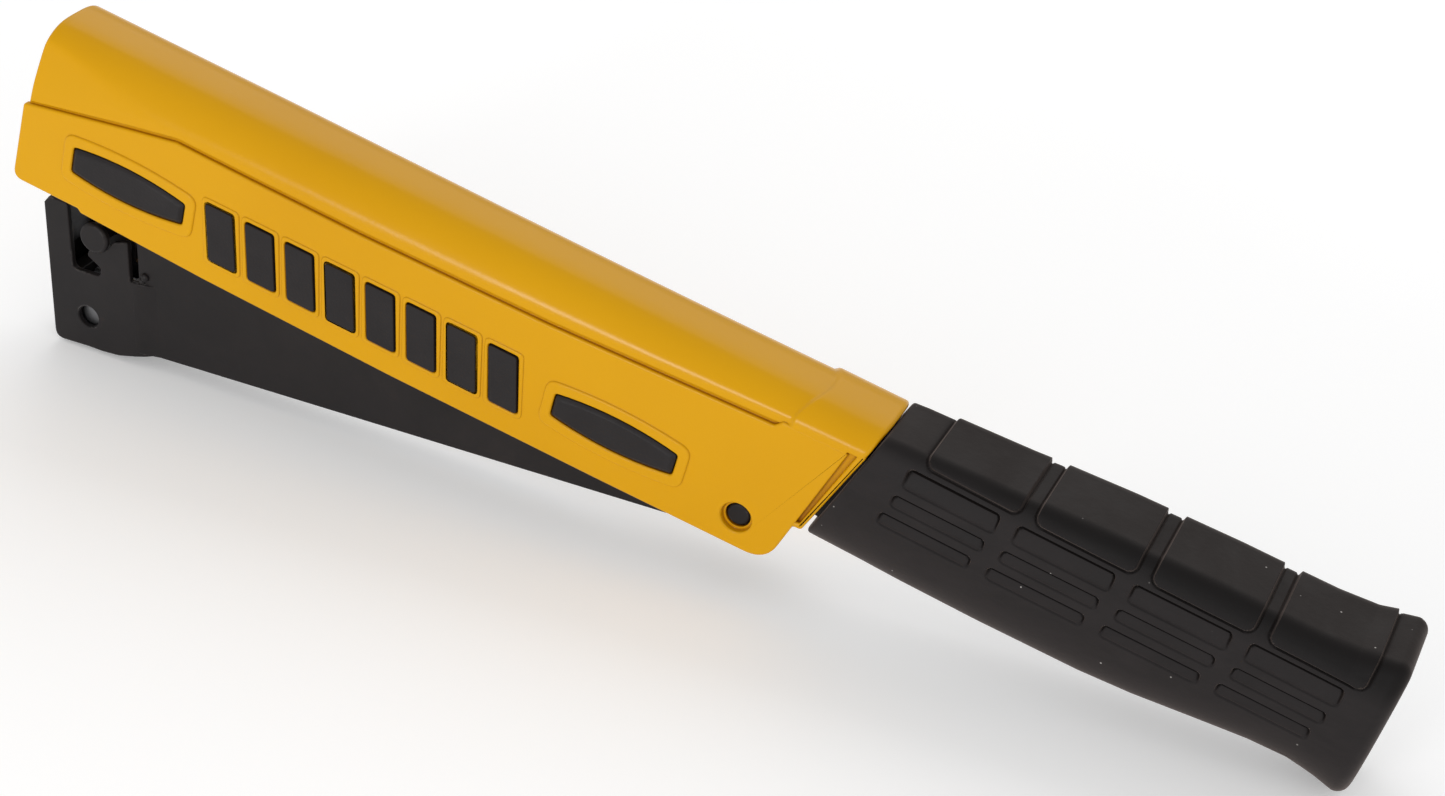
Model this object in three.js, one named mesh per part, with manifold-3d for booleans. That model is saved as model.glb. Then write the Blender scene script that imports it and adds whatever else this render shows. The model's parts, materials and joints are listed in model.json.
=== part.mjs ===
// Hammer tacker: a hand-swung stapler whose magazine is hinged under a cover with a rubber grip.
// Units are millimetres, +X points to the nose, +Z to the crown of the cover, +Y to one side.
// Two frames share the rear pivot as their origin: the handle frame and the magazine frame.
import * as THREE from 'three';
import { mergeVertices } from 'three/addons/utils/BufferGeometryUtils.js';
import Module from 'manifold-3d';

const wasm = await Module();
wasm.setup();

// ---------------------------------------------------------------- driving dimensions
const GAP = 0.3;
const OPEN_ANGLE = 12.4;          // magazine below the cover at rest, degrees
const HANDLE_TILT = 9.46;         // handle above level when the tool stands on nose and butt, degrees

const SIDE_AT_PIVOT = 12.75;      // half width of the cover over its side panels, at the pivot
const SIDE_TAPER = 0.0115;        // the cover widens by this much per mm towards the nose
const PANEL_RISE = 0.7;           // side panels stand proud of the cover's base surface
const WALL = 1.6;
const CROWN_TOP = 36.6;
const COVER_BOTTOM = -7.9;
const COVER_FRONT_BOTTOM = -6.1;
const COVER_FRONT = 200.3;
const FRONT_LEAN = 0.03;          // the front wall leans back by this much per mm of height
const REAR_CORNER_X = -9.9;

const FRAME_HALF = 9.9;
const FRAME_SHEET = 1.8;
const WEB_TOP = 29.0;
const WEB_BOTTOM = 27.0;

const PIVOT_RADIUS = 2.9;
const PIVOT_HOLE = 3.2;
const COUNTERBORE = 3.95;

const CHANNEL_OUT = 6.7;
const CHANNEL_IN = 5.5;
const CHANNEL_BOTTOM = -9.0;
const CHANNEL_FLOOR_TOP = -7.8;
const CHANNEL_END = 170.0;

const NOSE_OUT = 7.5;
const NOSE_IN = 6.0;
const NOSE_FRONT = 195.0;
const NOSE_FRONT_SHEET = 1.5;
const NOSE_REAR = 170.3;
const NOSE_BOTTOM = -11.7;

const BLADE_INNER_RADIUS = 191.3; // the blade is bent to an arc about the pivot
const BLADE_OUTER_RADIUS = 192.5;
const BLADE_HALF = 5.3;
const BLADE_TIP_ANGLE = -7.8;
const BLADE_TOP_ANGLE = 7.4;

const LATCH_PIN_X = 179.2;
const LATCH_PIN_Z = 22.2;
const LATCH_PIN_RADIUS = 2.2;
const STOP_BAR = { x: 162.0, z: 1.23, radius: 2.0, half: 4.6 };

const ROD_Z = 6.2;
const STICK_FRONT = 190.6;
const STICK_REAR = 140.0;
const PUSHER_FRONT = 139.7;
const PUSHER_REAR = 127.5;

const COLOURS = {
  yellow: 0xdca60e,
  rubber: 0x262324,
  blackSteel: 0x302b2a,
  blackPlastic: 0x2a2627,
  zinc: 0xb9bbbd,
  springSteel: 0x8b8d90,
  bumperRubber: 0x1c1b1c,
  stapleWire: 0xc3c4c6,
};

// ---------------------------------------------------------------- solid helpers
function toSolid(geometry) {
  const bare = geometry.clone();
  bare.deleteAttribute('normal');
  bare.deleteAttribute('uv');
  const merged = mergeVertices(bare, 1e-4);
  return new wasm.Manifold(new wasm.Mesh({
    numProp: 3,
    vertProperties: new Float32Array(merged.attributes.position.array),
    triVerts: new Uint32Array(merged.index.array),
  }));
}

function toGeometry(solid) {
  const mesh = solid.getMesh();
  const geometry = new THREE.BufferGeometry();
  geometry.setAttribute('position', new THREE.BufferAttribute(new Float32Array(mesh.vertProperties), 3));
  geometry.setIndex(new THREE.BufferAttribute(new Uint32Array(mesh.triVerts), 1));
  return geometry;
}

// Rounds the corners of a polygon. Each corner is [x, y, radius].
function rounded(corners, segments = 4) {
  const points = [];
  for (let i = 0; i < corners.length; i += 1) {
    const [x, y, radius = 0] = corners[i];
    const corner = new THREE.Vector2(x, y);
    if (radius === 0) {
      points.push(corner);
      continue;
    }
    const before = corners[(i + corners.length - 1) % corners.length];
    const after = corners[(i + 1) % corners.length];
    const inward = new THREE.Vector2(before[0] - x, before[1] - y).normalize();
    const outward = new THREE.Vector2(after[0] - x, after[1] - y).normalize();
    const halfAngle = Math.acos(THREE.MathUtils.clamp(inward.dot(outward), -1, 1)) / 2;
    const reach = radius / Math.tan(halfAngle);
    const start = corner.clone().addScaledVector(inward, reach);
    const end = corner.clone().addScaledVector(outward, reach);
    for (let k = 0; k <= segments; k += 1) {
      const t = k / segments;
      const a = start.clone().lerp(corner, t);
      const b = corner.clone().lerp(end, t);
      points.push(a.lerp(b, t));
    }
  }
  return points;
}

function extrude(points, depth, steps = 1) {
  const shape = new THREE.Shape(points);
  return new THREE.ExtrudeGeometry(shape, { depth, steps, bevelEnabled: false, curveSegments: 12 });
}

// Points are (x, z); the solid runs from y0 to y1.
function prismY(points, y0, y1) {
  const geometry = extrude(points, y1 - y0);
  geometry.rotateX(Math.PI / 2);
  geometry.translate(0, y1, 0);
  return toSolid(geometry);
}

// Points are (y, z); the geometry runs from x0 to x1.
function sectionGeometry(points, x0, x1, steps) {
  const geometry = extrude(points, x1 - x0, steps);
  const turn = new THREE.Matrix4().makeBasis(
    new THREE.Vector3(0, 1, 0),
    new THREE.Vector3(0, 0, 1),
    new THREE.Vector3(1, 0, 0),
  );
  geometry.applyMatrix4(turn);
  geometry.translate(x0, 0, 0);
  return geometry;
}

function prismZ(points, z0, z1) {
  const geometry = extrude(points, z1 - z0);
  geometry.translate(0, 0, z0);
  return toSolid(geometry);
}

function box(x0, x1, y0, y1, z0, z1) {
  const geometry = new THREE.BoxGeometry(x1 - x0, y1 - y0, z1 - z0);
  geometry.translate((x0 + x1) / 2, (y0 + y1) / 2, (z0 + z1) / 2);
  return toSolid(geometry);
}

function rodY(radius, x, z, y0, y1, segments = 32) {
  const geometry = new THREE.CylinderGeometry(radius, radius, y1 - y0, segments);
  geometry.translate(x, (y0 + y1) / 2, z);
  return toSolid(geometry);
}

function rodX(radius, y, z, x0, x1, segments = 20) {
  const geometry = new THREE.CylinderGeometry(radius, radius, x1 - x0, segments);
  geometry.rotateZ(-Math.PI / 2);
  geometry.translate((x0 + x1) / 2, y, z);
  return toSolid(geometry);
}

function rodZ(radius, x, y, z0, z1, segments = 20) {
  const geometry = new THREE.CylinderGeometry(radius, radius, z1 - z0, segments);
  geometry.rotateX(Math.PI / 2);
  geometry.translate(x, y, (z0 + z1) / 2);
  return toSolid(geometry);
}

function mirrorY(solid) {
  return solid.mirror([0, 1, 0]);
}

class Helix extends THREE.Curve {
  constructor(from, to, radius, turns, side) {
    super();
    this.from = from;
    this.axis = to.clone().sub(from);
    this.radius = radius;
    this.turns = turns;
    this.u = side.clone().normalize();
    this.v = this.axis.clone().normalize().cross(this.u);
  }

  getPoint(t, target = new THREE.Vector3()) {
    const angle = t * this.turns * 2 * Math.PI;
    target.copy(this.from).addScaledVector(this.axis, t);
    target.addScaledVector(this.u, this.radius * Math.cos(angle));
    return target.addScaledVector(this.v, this.radius * Math.sin(angle));
  }
}

function coil(from, to, radius, wire, turns, perTurn, sides) {
  const path = new Helix(from, to, radius, turns, new THREE.Vector3(0, 1, 0));
  const ring = [];
  for (let i = 0; i < sides; i += 1) {
    const angle = (i / sides) * 2 * Math.PI;
    ring.push(new THREE.Vector2(wire * Math.cos(angle), wire * Math.sin(angle)));
  }
  const steps = Math.round(turns * perTurn);
  return toSolid(new THREE.ExtrudeGeometry(new THREE.Shape(ring), { steps, extrudePath: path }));
}

// ---------------------------------------------------------------- cover surfaces
function sideHalf(x) {
  return SIDE_AT_PIVOT + SIDE_TAPER * x;
}

function between(x, table) {
  if (x <= table[0][0]) {
    return table[0][1];
  }
  for (let i = 1; i < table.length; i += 1) {
    if (x <= table[i][0]) {
      const [x0, v0] = table[i - 1];
      const [x1, v1] = table[i];
      return v0 + ((v1 - v0) * (x - x0)) / (x1 - x0);
    }
  }
  return table[table.length - 1][1];
}

const CREASE = [[-30, 32.5], [-7, 31.9], [31, 29.8], [57, 28.8], [83, 28.2], [110, 28.0], [138, 28.1],
  [160, 27.6], [205, 26.4]];

// Height of the crown over the crease, 1 at the middle and 0 at the sides.
function crownRise(across) {
  return 1 - Math.abs(across) ** 3.4;
}

// The cover's cross section, swept from x0 to x1 while its width and crease height change.
function coverLoft(x0, x1, half, crease, top, bottom, steps) {
  const section = [new THREE.Vector2(-1, -1), new THREE.Vector2(1, -1)];
  const segments = 16;
  for (let i = 0; i <= segments; i += 1) {
    const across = Math.cos((i / segments) * Math.PI);
    section.push(new THREE.Vector2(across, i === 0 || i === segments ? 0 : crownRise(across)));
  }
  const geometry = sectionGeometry(section, x0, x1, steps);
  const position = geometry.attributes.position;
  for (let i = 0; i < position.count; i += 1) {
    const x = position.getX(i);
    const rise = position.getZ(i);
    const edge = crease(x);
    position.setY(i, position.getY(i) * half(x));
    position.setZ(i, rise <= 0 ? edge + rise * (edge - bottom) : edge + rise * (top - edge));
  }
  return toSolid(geometry);
}

function frontLine(z) {
  return COVER_FRONT - FRONT_LEAN * (z - COVER_FRONT_BOTTOM);
}

// The slanted rear edges: of the side panels, of the rim behind them and of the grip behind the rim.
function panelRear(z) {
  return -11.9 - 0.254 * z;
}

function rimRear(z) {
  return -13.55 - 0.321 * z;
}

function gripFront(z) {
  return -15.2 - 0.284 * z;
}

// The lower edge of the cover, from the rear corner to the step under its front end.
function lowerEdge(rearX, rearRadius, lift) {
  const z = COVER_BOTTOM + lift;
  return [[rearX, z, rearRadius], [35, z - 0.6], [92, z - 0.95], [145, z - 0.3], [181, z + 0.9, 0.6],
    [182, COVER_FRONT_BOTTOM + lift, 0.6]];
}

// Moves a solid drawn at y = 0 on a side panel out onto that panel; side is 1 or -1.
function onSide(solid, side) {
  const angle = THREE.MathUtils.radToDeg(Math.atan(SIDE_TAPER));
  const placed = solid.rotate([0, 0, angle]).translate([0, SIDE_AT_PIVOT, 0]);
  return side > 0 ? placed : mirrorY(placed);
}

// The wedge that planes off each upper front corner of the cover, offset inwards by depth.
function frontFacet(side, depth) {
  const a = new THREE.Vector3(200.3, 14.35, 16.1);
  const b = new THREE.Vector3(168.0, 14.0, 27.2);
  const c = new THREE.Vector3(200.3, 10.4, 33.2);
  const normal = b.clone().sub(a).cross(c.clone().sub(a)).normalize();
  if (normal.y < 0) {
    normal.negate();
  }
  const geometry = new THREE.BoxGeometry(160, 160, 60);
  geometry.translate(0, 0, 30 - depth);
  const turn = new THREE.Quaternion().setFromUnitVectors(new THREE.Vector3(0, 0, 1), normal);
  geometry.applyQuaternion(turn);
  geometry.translate(a.x, a.y, a.z);
  const wedge = toSolid(geometry);
  return side > 0 ? wedge : mirrorY(wedge);
}

// ---------------------------------------------------------------- pads and emblem outlines
function padOutline(x0, x1, rearHalf, frontHalf, centre, bulge, grow) {
  const points = [];
  const segments = 6;
  const start = x0 - grow;
  const end = x1 + grow;
  for (let i = 0; i <= segments; i += 1) {
    const t = i / segments;
    const half = rearHalf + (frontHalf - rearHalf) * t + bulge * 4 * t * (1 - t) + grow;
    points.push(new THREE.Vector2(start + (end - start) * t, centre - half));
  }
  for (let i = segments; i >= 0; i -= 1) {
    const t = i / segments;
    const half = rearHalf + (frontHalf - rearHalf) * t + bulge * 4 * t * (1 - t) + grow;
    points.push(new THREE.Vector2(start + (end - start) * t, centre + half));
  }
  return points;
}

const PADS = {
  rear: [17.8, 49.8, 2.75, 2.95, 6.0, 1.6],
  front: [153.0, 184.6, 2.75, 3.3, 7.3, 1.6],
};

const BAR_COUNT = 8;
const BAR_PITCH = 11.2;
const BAR_WIDTH = 7.6;
const BAR_FIRST_X = 58.0;
const BAR_BOTTOM = -1.4;
const BAR_TOP = 13.6;
const BAR_SLANT = 3.4;

function barOutline(index, grow) {
  const x = BAR_FIRST_X + index * BAR_PITCH;
  return rounded([
    [x - grow, BAR_BOTTOM - grow, 0.9],
    [x + BAR_WIDTH + grow, BAR_BOTTOM - grow, 0.9],
    [x + BAR_WIDTH + BAR_SLANT + grow, BAR_TOP + grow, 0.9],
    [x + BAR_SLANT - grow, BAR_TOP + grow, 0.9],
  ], 2);
}

const FLANGE_OUT = -(PANEL_RISE + WALL + GAP);
const FLANGE_IN = FLANGE_OUT - 0.8;

function bevelled(outline, y0, y1, bevel) {
  const shape = new THREE.Shape(outline);
  const geometry = new THREE.ExtrudeGeometry(shape, {
    depth: y1 - y0 - 2 * bevel,
    bevelEnabled: true,
    bevelThickness: bevel,
    bevelSize: bevel,
    bevelOffset: -bevel,
    bevelSegments: 1,
  });
  geometry.rotateX(Math.PI / 2);
  geometry.translate(0, y1 - bevel, 0);
  return toSolid(geometry);
}

function padSolid(name, side) {
  const outline = padOutline(...PADS[name], 0);
  const face = bevelled(outline, FLANGE_IN, 0.9, 0.7);
  const flange = prismY(padOutline(...PADS[name], 1.4), FLANGE_IN, FLANGE_OUT);
  return onSide(face.add(flange), side);
}

function emblemSolid(side) {
  const last = BAR_FIRST_X + (BAR_COUNT - 1) * BAR_PITCH + BAR_WIDTH + BAR_SLANT;
  const backing = rounded([
    [BAR_FIRST_X - 2, BAR_BOTTOM - 1.5, 1],
    [last + 1.5, BAR_BOTTOM - 1.5, 1],
    [last + 1.5, BAR_TOP + 1.5, 1],
    [BAR_FIRST_X - 2, BAR_TOP + 1.5, 1],
  ], 2);
  let solid = prismY(backing, FLANGE_IN, FLANGE_OUT);
  for (let i = 0; i < BAR_COUNT; i += 1) {
    solid = solid.add(prismY(barOutline(i, 0), FLANGE_IN, 0.5));
  }
  return onSide(solid, side);
}

// ---------------------------------------------------------------- housing shell
function housingShell() {
  const base = (x) => sideHalf(x) - PANEL_RISE;
  const inner = (x) => base(x) - WALL;
  const crease = (x) => between(x, CREASE);
  const outline = rounded([
    [rimRear(40), 40],
    [rimRear(4.8), 4.8, 1.6],
    [rimRear(3.4) + 2.8, 3.4, 0.8],
    ...lowerEdge(REAR_CORNER_X + 0.4, 5.5, 0.1),
    [COVER_FRONT, COVER_FRONT_BOTTOM + 0.1, 2.6],
    [frontLine(40), 40],
  ], 4);
  let shell = coverLoft(-32, 206, base, crease, CROWN_TOP, -20, 7);
  shell = shell.intersect(prismY(outline, -20, 20));
  for (const side of [1, -1]) {
    shell = shell.subtract(frontFacet(side, 0));
  }

  const panelOutline = rounded([
    ...lowerEdge(REAR_CORNER_X, 6, 0),
    [COVER_FRONT + 0.9, COVER_FRONT_BOTTOM, 2.8],
    [frontLine(15.8) + 0.9, 15.8, 1.0],
    [172, 22.3, 6],
    [158, 25.3, 6],
    [138, 25.0, 30],
    [107, 24.8, 60],
    [56, 25.7, 60],
    [-3, 28.6],
    [panelRear(28.6), 28.6],
  ], 4);
  for (const side of [1, -1]) {
    shell = shell.add(onSide(prismY(panelOutline, -1.2, 0), side));
    for (const name of ['rear', 'front']) {
      shell = shell.add(onSide(prismY(padOutline(...PADS[name], 2.1), -1, 0.35), side));
    }
  }

  const collarOutline = [
    new THREE.Vector2(panelRear(27), 27),
    new THREE.Vector2(-2, 27),
    new THREE.Vector2(-2, 40),
    new THREE.Vector2(rimRear(40) + 0.5, 40),
    new THREE.Vector2(rimRear(34) + 0.5, 34),
    new THREE.Vector2(panelRear(32.2), 32.2),
  ];
  const collarPlan = [new THREE.Vector2(-40, -20), new THREE.Vector2(-2.0, -20)];
  for (let y = -14; y <= 14; y += 2) {
    collarPlan.push(new THREE.Vector2(-7.5 + 3.8 * (y / 14) ** 2, y));
  }
  collarPlan.push(new THREE.Vector2(-2.0, 20), new THREE.Vector2(-40, 20));
  const collar = coverLoft(-34, 0, sideHalf, (x) => 32.4 - 0.02 * x, CROWN_TOP + 0.7, 20, 3)
    .intersect(prismY(collarOutline, -20, 20))
    .intersect(prismZ(collarPlan, 0, 60));
  shell = shell.add(collar);

  const room = [[-60, -40], [frontLine(-40) - 1.9, -40], [frontLine(40) - 1.9, 40], [-60, 40]];
  const roomOutline = room.map(([x, z]) => new THREE.Vector2(x, z));
  let cavity = coverLoft(-50, 204, inner, (x) => crease(x) - 1.6, CROWN_TOP - 1.7, -30, 7)
    .intersect(prismY(roomOutline, -20, 20));
  for (const side of [1, -1]) {
    cavity = cavity.subtract(frontFacet(side, 1.6));
  }
  shell = shell.subtract(cavity);

  for (const side of [1, -1]) {
    for (const name of ['rear', 'front']) {
      shell = shell.subtract(onSide(prismY(padOutline(...PADS[name], GAP), -6, 3), side));
    }
    for (let i = 0; i < BAR_COUNT; i += 1) {
      shell = shell.subtract(onSide(prismY(barOutline(i, GAP), -6, 3), side));
    }
    const bore = rodY(COUNTERBORE, 0, 0, SIDE_AT_PIVOT - 1.4, SIDE_AT_PIVOT + 2, 40);
    shell = shell.subtract(side > 0 ? bore : mirrorY(bore));
  }
  return shell.subtract(rodY(PIVOT_HOLE, 0, 0, -20, 20));
}

// ---------------------------------------------------------------- handle frame
function handleFrame() {
  const cheekOutline = rounded([
    [-138, 9, 2],
    [-13.0, 9, 1],
    [-8.2, -5, 3],
    [9, -5, 5],
    [16, 18, 3],
    [168, 18, 3],
    [172, WEB_TOP],
    [-138, WEB_TOP],
  ], 3);
  const outside = prismY(cheekOutline, -FRAME_HALF, FRAME_HALF);
  const hollow = box(-160, 200, -FRAME_HALF + FRAME_SHEET, FRAME_HALF - FRAME_SHEET, -20, WEB_BOTTOM);
  let frame = outside.subtract(hollow);
  frame = frame.add(box(168, 196, -7.3, 7.3, WEB_BOTTOM, WEB_TOP));
  const slot = rounded([[150, -1.9, 1.8], [187.4, -1.9, 1.8], [187.4, 1.9, 1.8], [150, 1.9, 1.8]], 3);
  frame = frame.subtract(prismZ(slot, 20, 40));
  const tongue = rounded([
    [STOP_BAR.x - 3, STOP_BAR.z - 3, 2.4],
    [STOP_BAR.x + 3, STOP_BAR.z - 3, 2.4],
    [STOP_BAR.x + 3, WEB_TOP - 0.5],
    [STOP_BAR.x - 3, WEB_TOP - 0.5],
  ], 4);
  frame = frame.add(prismY(tongue, 2.0, 3.6)).add(prismY(tongue, -3.6, -2.0));
  frame = frame.subtract(rodY(STOP_BAR.radius + GAP, STOP_BAR.x, STOP_BAR.z, -10, 10));
  frame = frame.subtract(rodY(PIVOT_HOLE, 0, 0, -20, 20));
  for (const y of [-5, 5]) {
    frame = frame.subtract(rodZ(1.5, 180, y, 20, 40));
  }
  return frame;
}

// ---------------------------------------------------------------- rubber grip
const GRIP_TOP = [[-152, 44.8], [-146, 44.6], [-142, 43.7], [-137, 42.2], [-128, 41.4], [-105, 41.3],
  [-80, 40.5], [-62, 39.2], [-55, 38.5], [-38, 37.4], [-15, 36.4]];
const GRIP_BOTTOM = [[-152, 2.2], [-147, 2.2], [-141, 4.2], [-134, 5.6], [-125, 5.3], [-112, 3.6],
  [-98, 1.7], [-85, 0.7], [-60, 0.3], [-40, 0.4], [-12, 1.2]];
const GRIP_HALF = [[-152, 14.4], [-146, 14.4], [-138, 13.6], [-120, 13.4], [-60, 13.4], [-10, 12.9]];
const GRIP_REAR = -148.8;

function gripLoft(x0, x1, grow, steps) {
  const section = rounded([[-1, 0, 0.48], [1, 0, 0.48], [1, 1, 0.5], [-1, 1, 0.5]], 5);
  const geometry = sectionGeometry(section, x0, x1, steps);
  const position = geometry.attributes.position;
  for (let i = 0; i < position.count; i += 1) {
    const x = position.getX(i);
    const half = between(x, GRIP_HALF) + grow;
    const low = between(x, GRIP_BOTTOM) - grow;
    const high = between(x, GRIP_TOP) + grow;
    const across = position.getY(i);
    const up = position.getZ(i);
    const fullness = up < 0.5 ? 1.72 : 0.8;
    position.setY(i, Math.sign(across) * Math.abs(across) ** fullness * half);
    position.setZ(i, low + (high - low) * up);
  }
  return toSolid(geometry);
}

function roundedBar(x0, x1, z0, z1, radius) {
  return rounded([[x0, z0, radius], [x1, z0, radius], [x1, z1, radius], [x0, z1, radius]], 2);
}

const PAD_STARTS = [-59.5, -87.5, -115.3, -141.3];
const PAD_LENGTHS = [23.1, 24.0, 23.7, 22.1];
const PAD_HALF = 11.9;
const PAD_BOTTOM = 35;
const PAD_HEIGHT = 0.8;
// Recessed strips under each pad: bottom, top and how far they are shifted towards the nose.
const STRIPS = [[28.7, 33.8, 3.1], [23.0, 26.5, 4.1], [17.2, 20.8, 5.5]];
const STRIP_DEPTH = 0.7;

function rubberGrip() {
  const frontCut = [
    new THREE.Vector2(-200, -10),
    new THREE.Vector2(gripFront(-10), -10),
    new THREE.Vector2(gripFront(60), 60),
    new THREE.Vector2(-200, 60),
  ];
  let grip = gripLoft(GRIP_REAR, -8, 0, 17);
  const skin = gripLoft(GRIP_REAR + 0.5, -8, PAD_HEIGHT, 17);
  const core = gripLoft(GRIP_REAR - 2, -4, -STRIP_DEPTH, 17);
  for (let i = 0; i < PAD_STARTS.length; i += 1) {
    const start = PAD_STARTS[i];
    const end = start + PAD_LENGTHS[i];
    const pad = prismZ(roundedBar(start, end, -PAD_HALF, PAD_HALF, 1.6), PAD_BOTTOM, 60);
    grip = grip.add(skin.intersect(pad));
    for (const [low, high, shift] of STRIPS) {
      const strip = prismY(roundedBar(start + shift, end + shift, low, high, 1.4), -30, 30);
      grip = grip.subtract(strip.subtract(core));
    }
  }
  grip = grip.intersect(prismY(frontCut, -30, 30));
  const rearRound = rounded([[GRIP_REAR, -5], [GRIP_REAR, 50], [0, 50], [0, -5]], 1);
  grip = grip.intersect(prismY(rearRound, -30, 30));
  const pocket = box(-138.4, 10, -FRAME_HALF - GAP, FRAME_HALF + GAP, 8.7, WEB_TOP + GAP);
  return grip.subtract(pocket);
}

// ---------------------------------------------------------------- driver
function arcPoints(radius, fromDegrees, toDegrees, segments) {
  const points = [];
  for (let i = 0; i <= segments; i += 1) {
    const angle = THREE.MathUtils.degToRad(fromDegrees + ((toDegrees - fromDegrees) * i) / segments);
    points.push(new THREE.Vector2(radius * Math.cos(angle), radius * Math.sin(angle)));
  }
  return points;
}

const BLADE_SCREW_Z = 22.0;
const BLADE_SCREW_Y = 2.8;

function driverBlade() {
  const outline = [
    ...arcPoints(BLADE_OUTER_RADIUS, BLADE_TIP_ANGLE, BLADE_TOP_ANGLE, 10),
    ...arcPoints(BLADE_INNER_RADIUS, BLADE_TOP_ANGLE, BLADE_TIP_ANGLE, 10),
  ];
  let blade = prismY(outline, -BLADE_HALF, BLADE_HALF);
  for (const y of [-BLADE_SCREW_Y, BLADE_SCREW_Y]) {
    blade = blade.subtract(rodX(1.3, y, BLADE_SCREW_Z, 180, 200));
  }
  return blade;
}

function driverBlock() {
  const front = arcPoints(BLADE_INNER_RADIUS - GAP, 5.2, 8.04, 4);
  const outline = [new THREE.Vector2(176, 17.3), ...front, new THREE.Vector2(176, 26.7)];
  let block = prismY(outline, -7.2, 7.2);
  block = block.subtract(box(170, 187.2, -3, 3, 10, 40));
  for (const y of [-BLADE_SCREW_Y, BLADE_SCREW_Y]) {
    block = block.subtract(rodX(1.3, y, BLADE_SCREW_Z, 188.2, 200));
  }
  for (const y of [-5, 5]) {
    block = block.subtract(rodZ(1.5, 180, y, 19.5, 40));
  }
  return block;
}

function bladeScrew(y) {
  const head = rodX(1.9, y, BLADE_SCREW_Z, 192.6, 194.4);
  return head.add(rodX(1.0, y, BLADE_SCREW_Z, 188.5, 193));
}

function blockScrew(y) {
  const head = rodZ(2.3, 180, y, WEB_TOP + 0.1, WEB_TOP + 1.9);
  return head.add(rodZ(1.2, 180, y, 20, WEB_TOP + 1));
}

// ---------------------------------------------------------------- handle small parts
function pivotPin() {
  const face = SIDE_AT_PIVOT - 1.4;
  const profile = [
    new THREE.Vector2(0, -face),
    new THREE.Vector2(PIVOT_RADIUS - 0.4, -face),
    new THREE.Vector2(PIVOT_RADIUS, -face + 0.4),
    new THREE.Vector2(PIVOT_RADIUS, face - 0.4),
    new THREE.Vector2(PIVOT_RADIUS - 0.4, face),
    new THREE.Vector2(0, face),
  ];
  return toSolid(new THREE.LatheGeometry(profile, 32));
}

function pivotSpacer(side) {
  const ring = rodY(5, 0, 0, 7.0, 7.8).subtract(rodY(PIVOT_HOLE, 0, 0, 6, 9));
  return side > 0 ? ring : mirrorY(ring);
}

function bumper() {
  const outline = [
    new THREE.Vector2(118, WEB_BOTTOM - GAP),
    new THREE.Vector2(118, 17.6),
    new THREE.Vector2(138, 17.6),
    new THREE.Vector2(138, WEB_BOTTOM - GAP),
  ];
  return prismY(outline, -7.4, 7.4);
}

// ---------------------------------------------------------------- magazine
const WALL_TOP_FRONT = 28.0;

function magazineChannel() {
  const sideOutline = rounded([
    [-9, -9, 8],
    [24, CHANNEL_BOTTOM, 3],
    [CHANNEL_END, CHANNEL_BOTTOM, 0],
    [CHANNEL_END, 11.4, 0.8],
    [168.0, 12.6, 0.5],
    [168.0, WALL_TOP_FRONT, 1.5],
    [140, WALL_TOP_FRONT, 8],
    [10, 10.5, 8],
    [-9, 9, 8],
  ], 5);
  const outside = prismY(sideOutline, -CHANNEL_OUT, CHANNEL_OUT);
  let channel = outside.subtract(box(-20, 180, -CHANNEL_IN, CHANNEL_IN, CHANNEL_FLOOR_TOP, 60));
  channel = channel.subtract(box(-20, 22, -CHANNEL_IN, CHANNEL_IN, -20, 60));
  for (const side of [1, -1]) {
    const flarePlan = [
      new THREE.Vector2(163, CHANNEL_OUT - 0.01),
      new THREE.Vector2(163, CHANNEL_IN),
      new THREE.Vector2(167, NOSE_IN),
      new THREE.Vector2(CHANNEL_END, NOSE_IN),
      new THREE.Vector2(CHANNEL_END, NOSE_OUT),
      new THREE.Vector2(167.5, NOSE_OUT),
    ];
    const flare = prismZ(flarePlan, CHANNEL_BOTTOM, 11.4);
    const clear = box(167, 180, -NOSE_IN, NOSE_IN, CHANNEL_FLOOR_TOP, 11.5);
    channel = channel.add(side > 0 ? flare : mirrorY(flare)).subtract(clear);
  }
  channel = channel.add(box(169, 190.3, -5.7, 5.7, CHANNEL_BOTTOM, CHANNEL_FLOOR_TOP));
  return channel.subtract(rodY(PIVOT_HOLE, 0, 0, -20, 20));
}

function noseHousing() {
  const sideOutline = rounded([
    [NOSE_REAR, -9.0],
    [184.9, -9.0],
    [184.9, NOSE_BOTTOM, 0.5],
    [NOSE_FRONT, NOSE_BOTTOM, 2.6],
    [NOSE_FRONT, 27.6, 0.4],
    [193.4, 29.5, 0.4],
    [187.8, 29.0, 1.4],
    [187.8, 10.4, 2.0],
    [179.4, 10.4, 1.2],
    [179.2, 12.9, 1.0],
    [183.0, 15.6, 0.8],
    [182.2, 17.4, 0.6],
    [177.4, 18.3, 0.8],
    [174.6, 21.4, 0.8],
    [NOSE_REAR, 22.7, 0.9],
  ], 4);
  let nose = prismY(sideOutline, -NOSE_OUT, NOSE_OUT);
  nose = nose.subtract(box(160, NOSE_FRONT - NOSE_FRONT_SHEET, -NOSE_IN, NOSE_IN, -30, 60));
  return nose.subtract(rodY(3.0, 184.1, -2.7, -20, 20, 36));
}

function noseHeel() {
  const outline = rounded([
    [165.6, -9.4, 0],
    [170.0, -10.8, 4],
    [175.5, -12.2, 6],
    [180.5, -12.35, 4],
    [184.4, -12.1, 0.5],
    [184.4, -9.4, 0],
  ], 4);
  return prismY(outline, -7.3, 7.3);
}

function frontGuide() {
  return box(186.6, 190.6, -5.6, 5.6, 3.4, 9.6);
}

function stapleRail() {
  const outer = box(26, 186, -4.4, 4.4, -7.4, 1.6);
  return outer.subtract(box(20, 190, -3.6, 3.6, -10, 0.8));
}

function stapleStick() {
  const outer = box(STICK_REAR, STICK_FRONT, -5.25, 5.25, -7.5, 2.4);
  return outer.subtract(box(STICK_REAR - 5, STICK_FRONT + 5, -4.7, 4.7, -10, 1.9));
}

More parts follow.
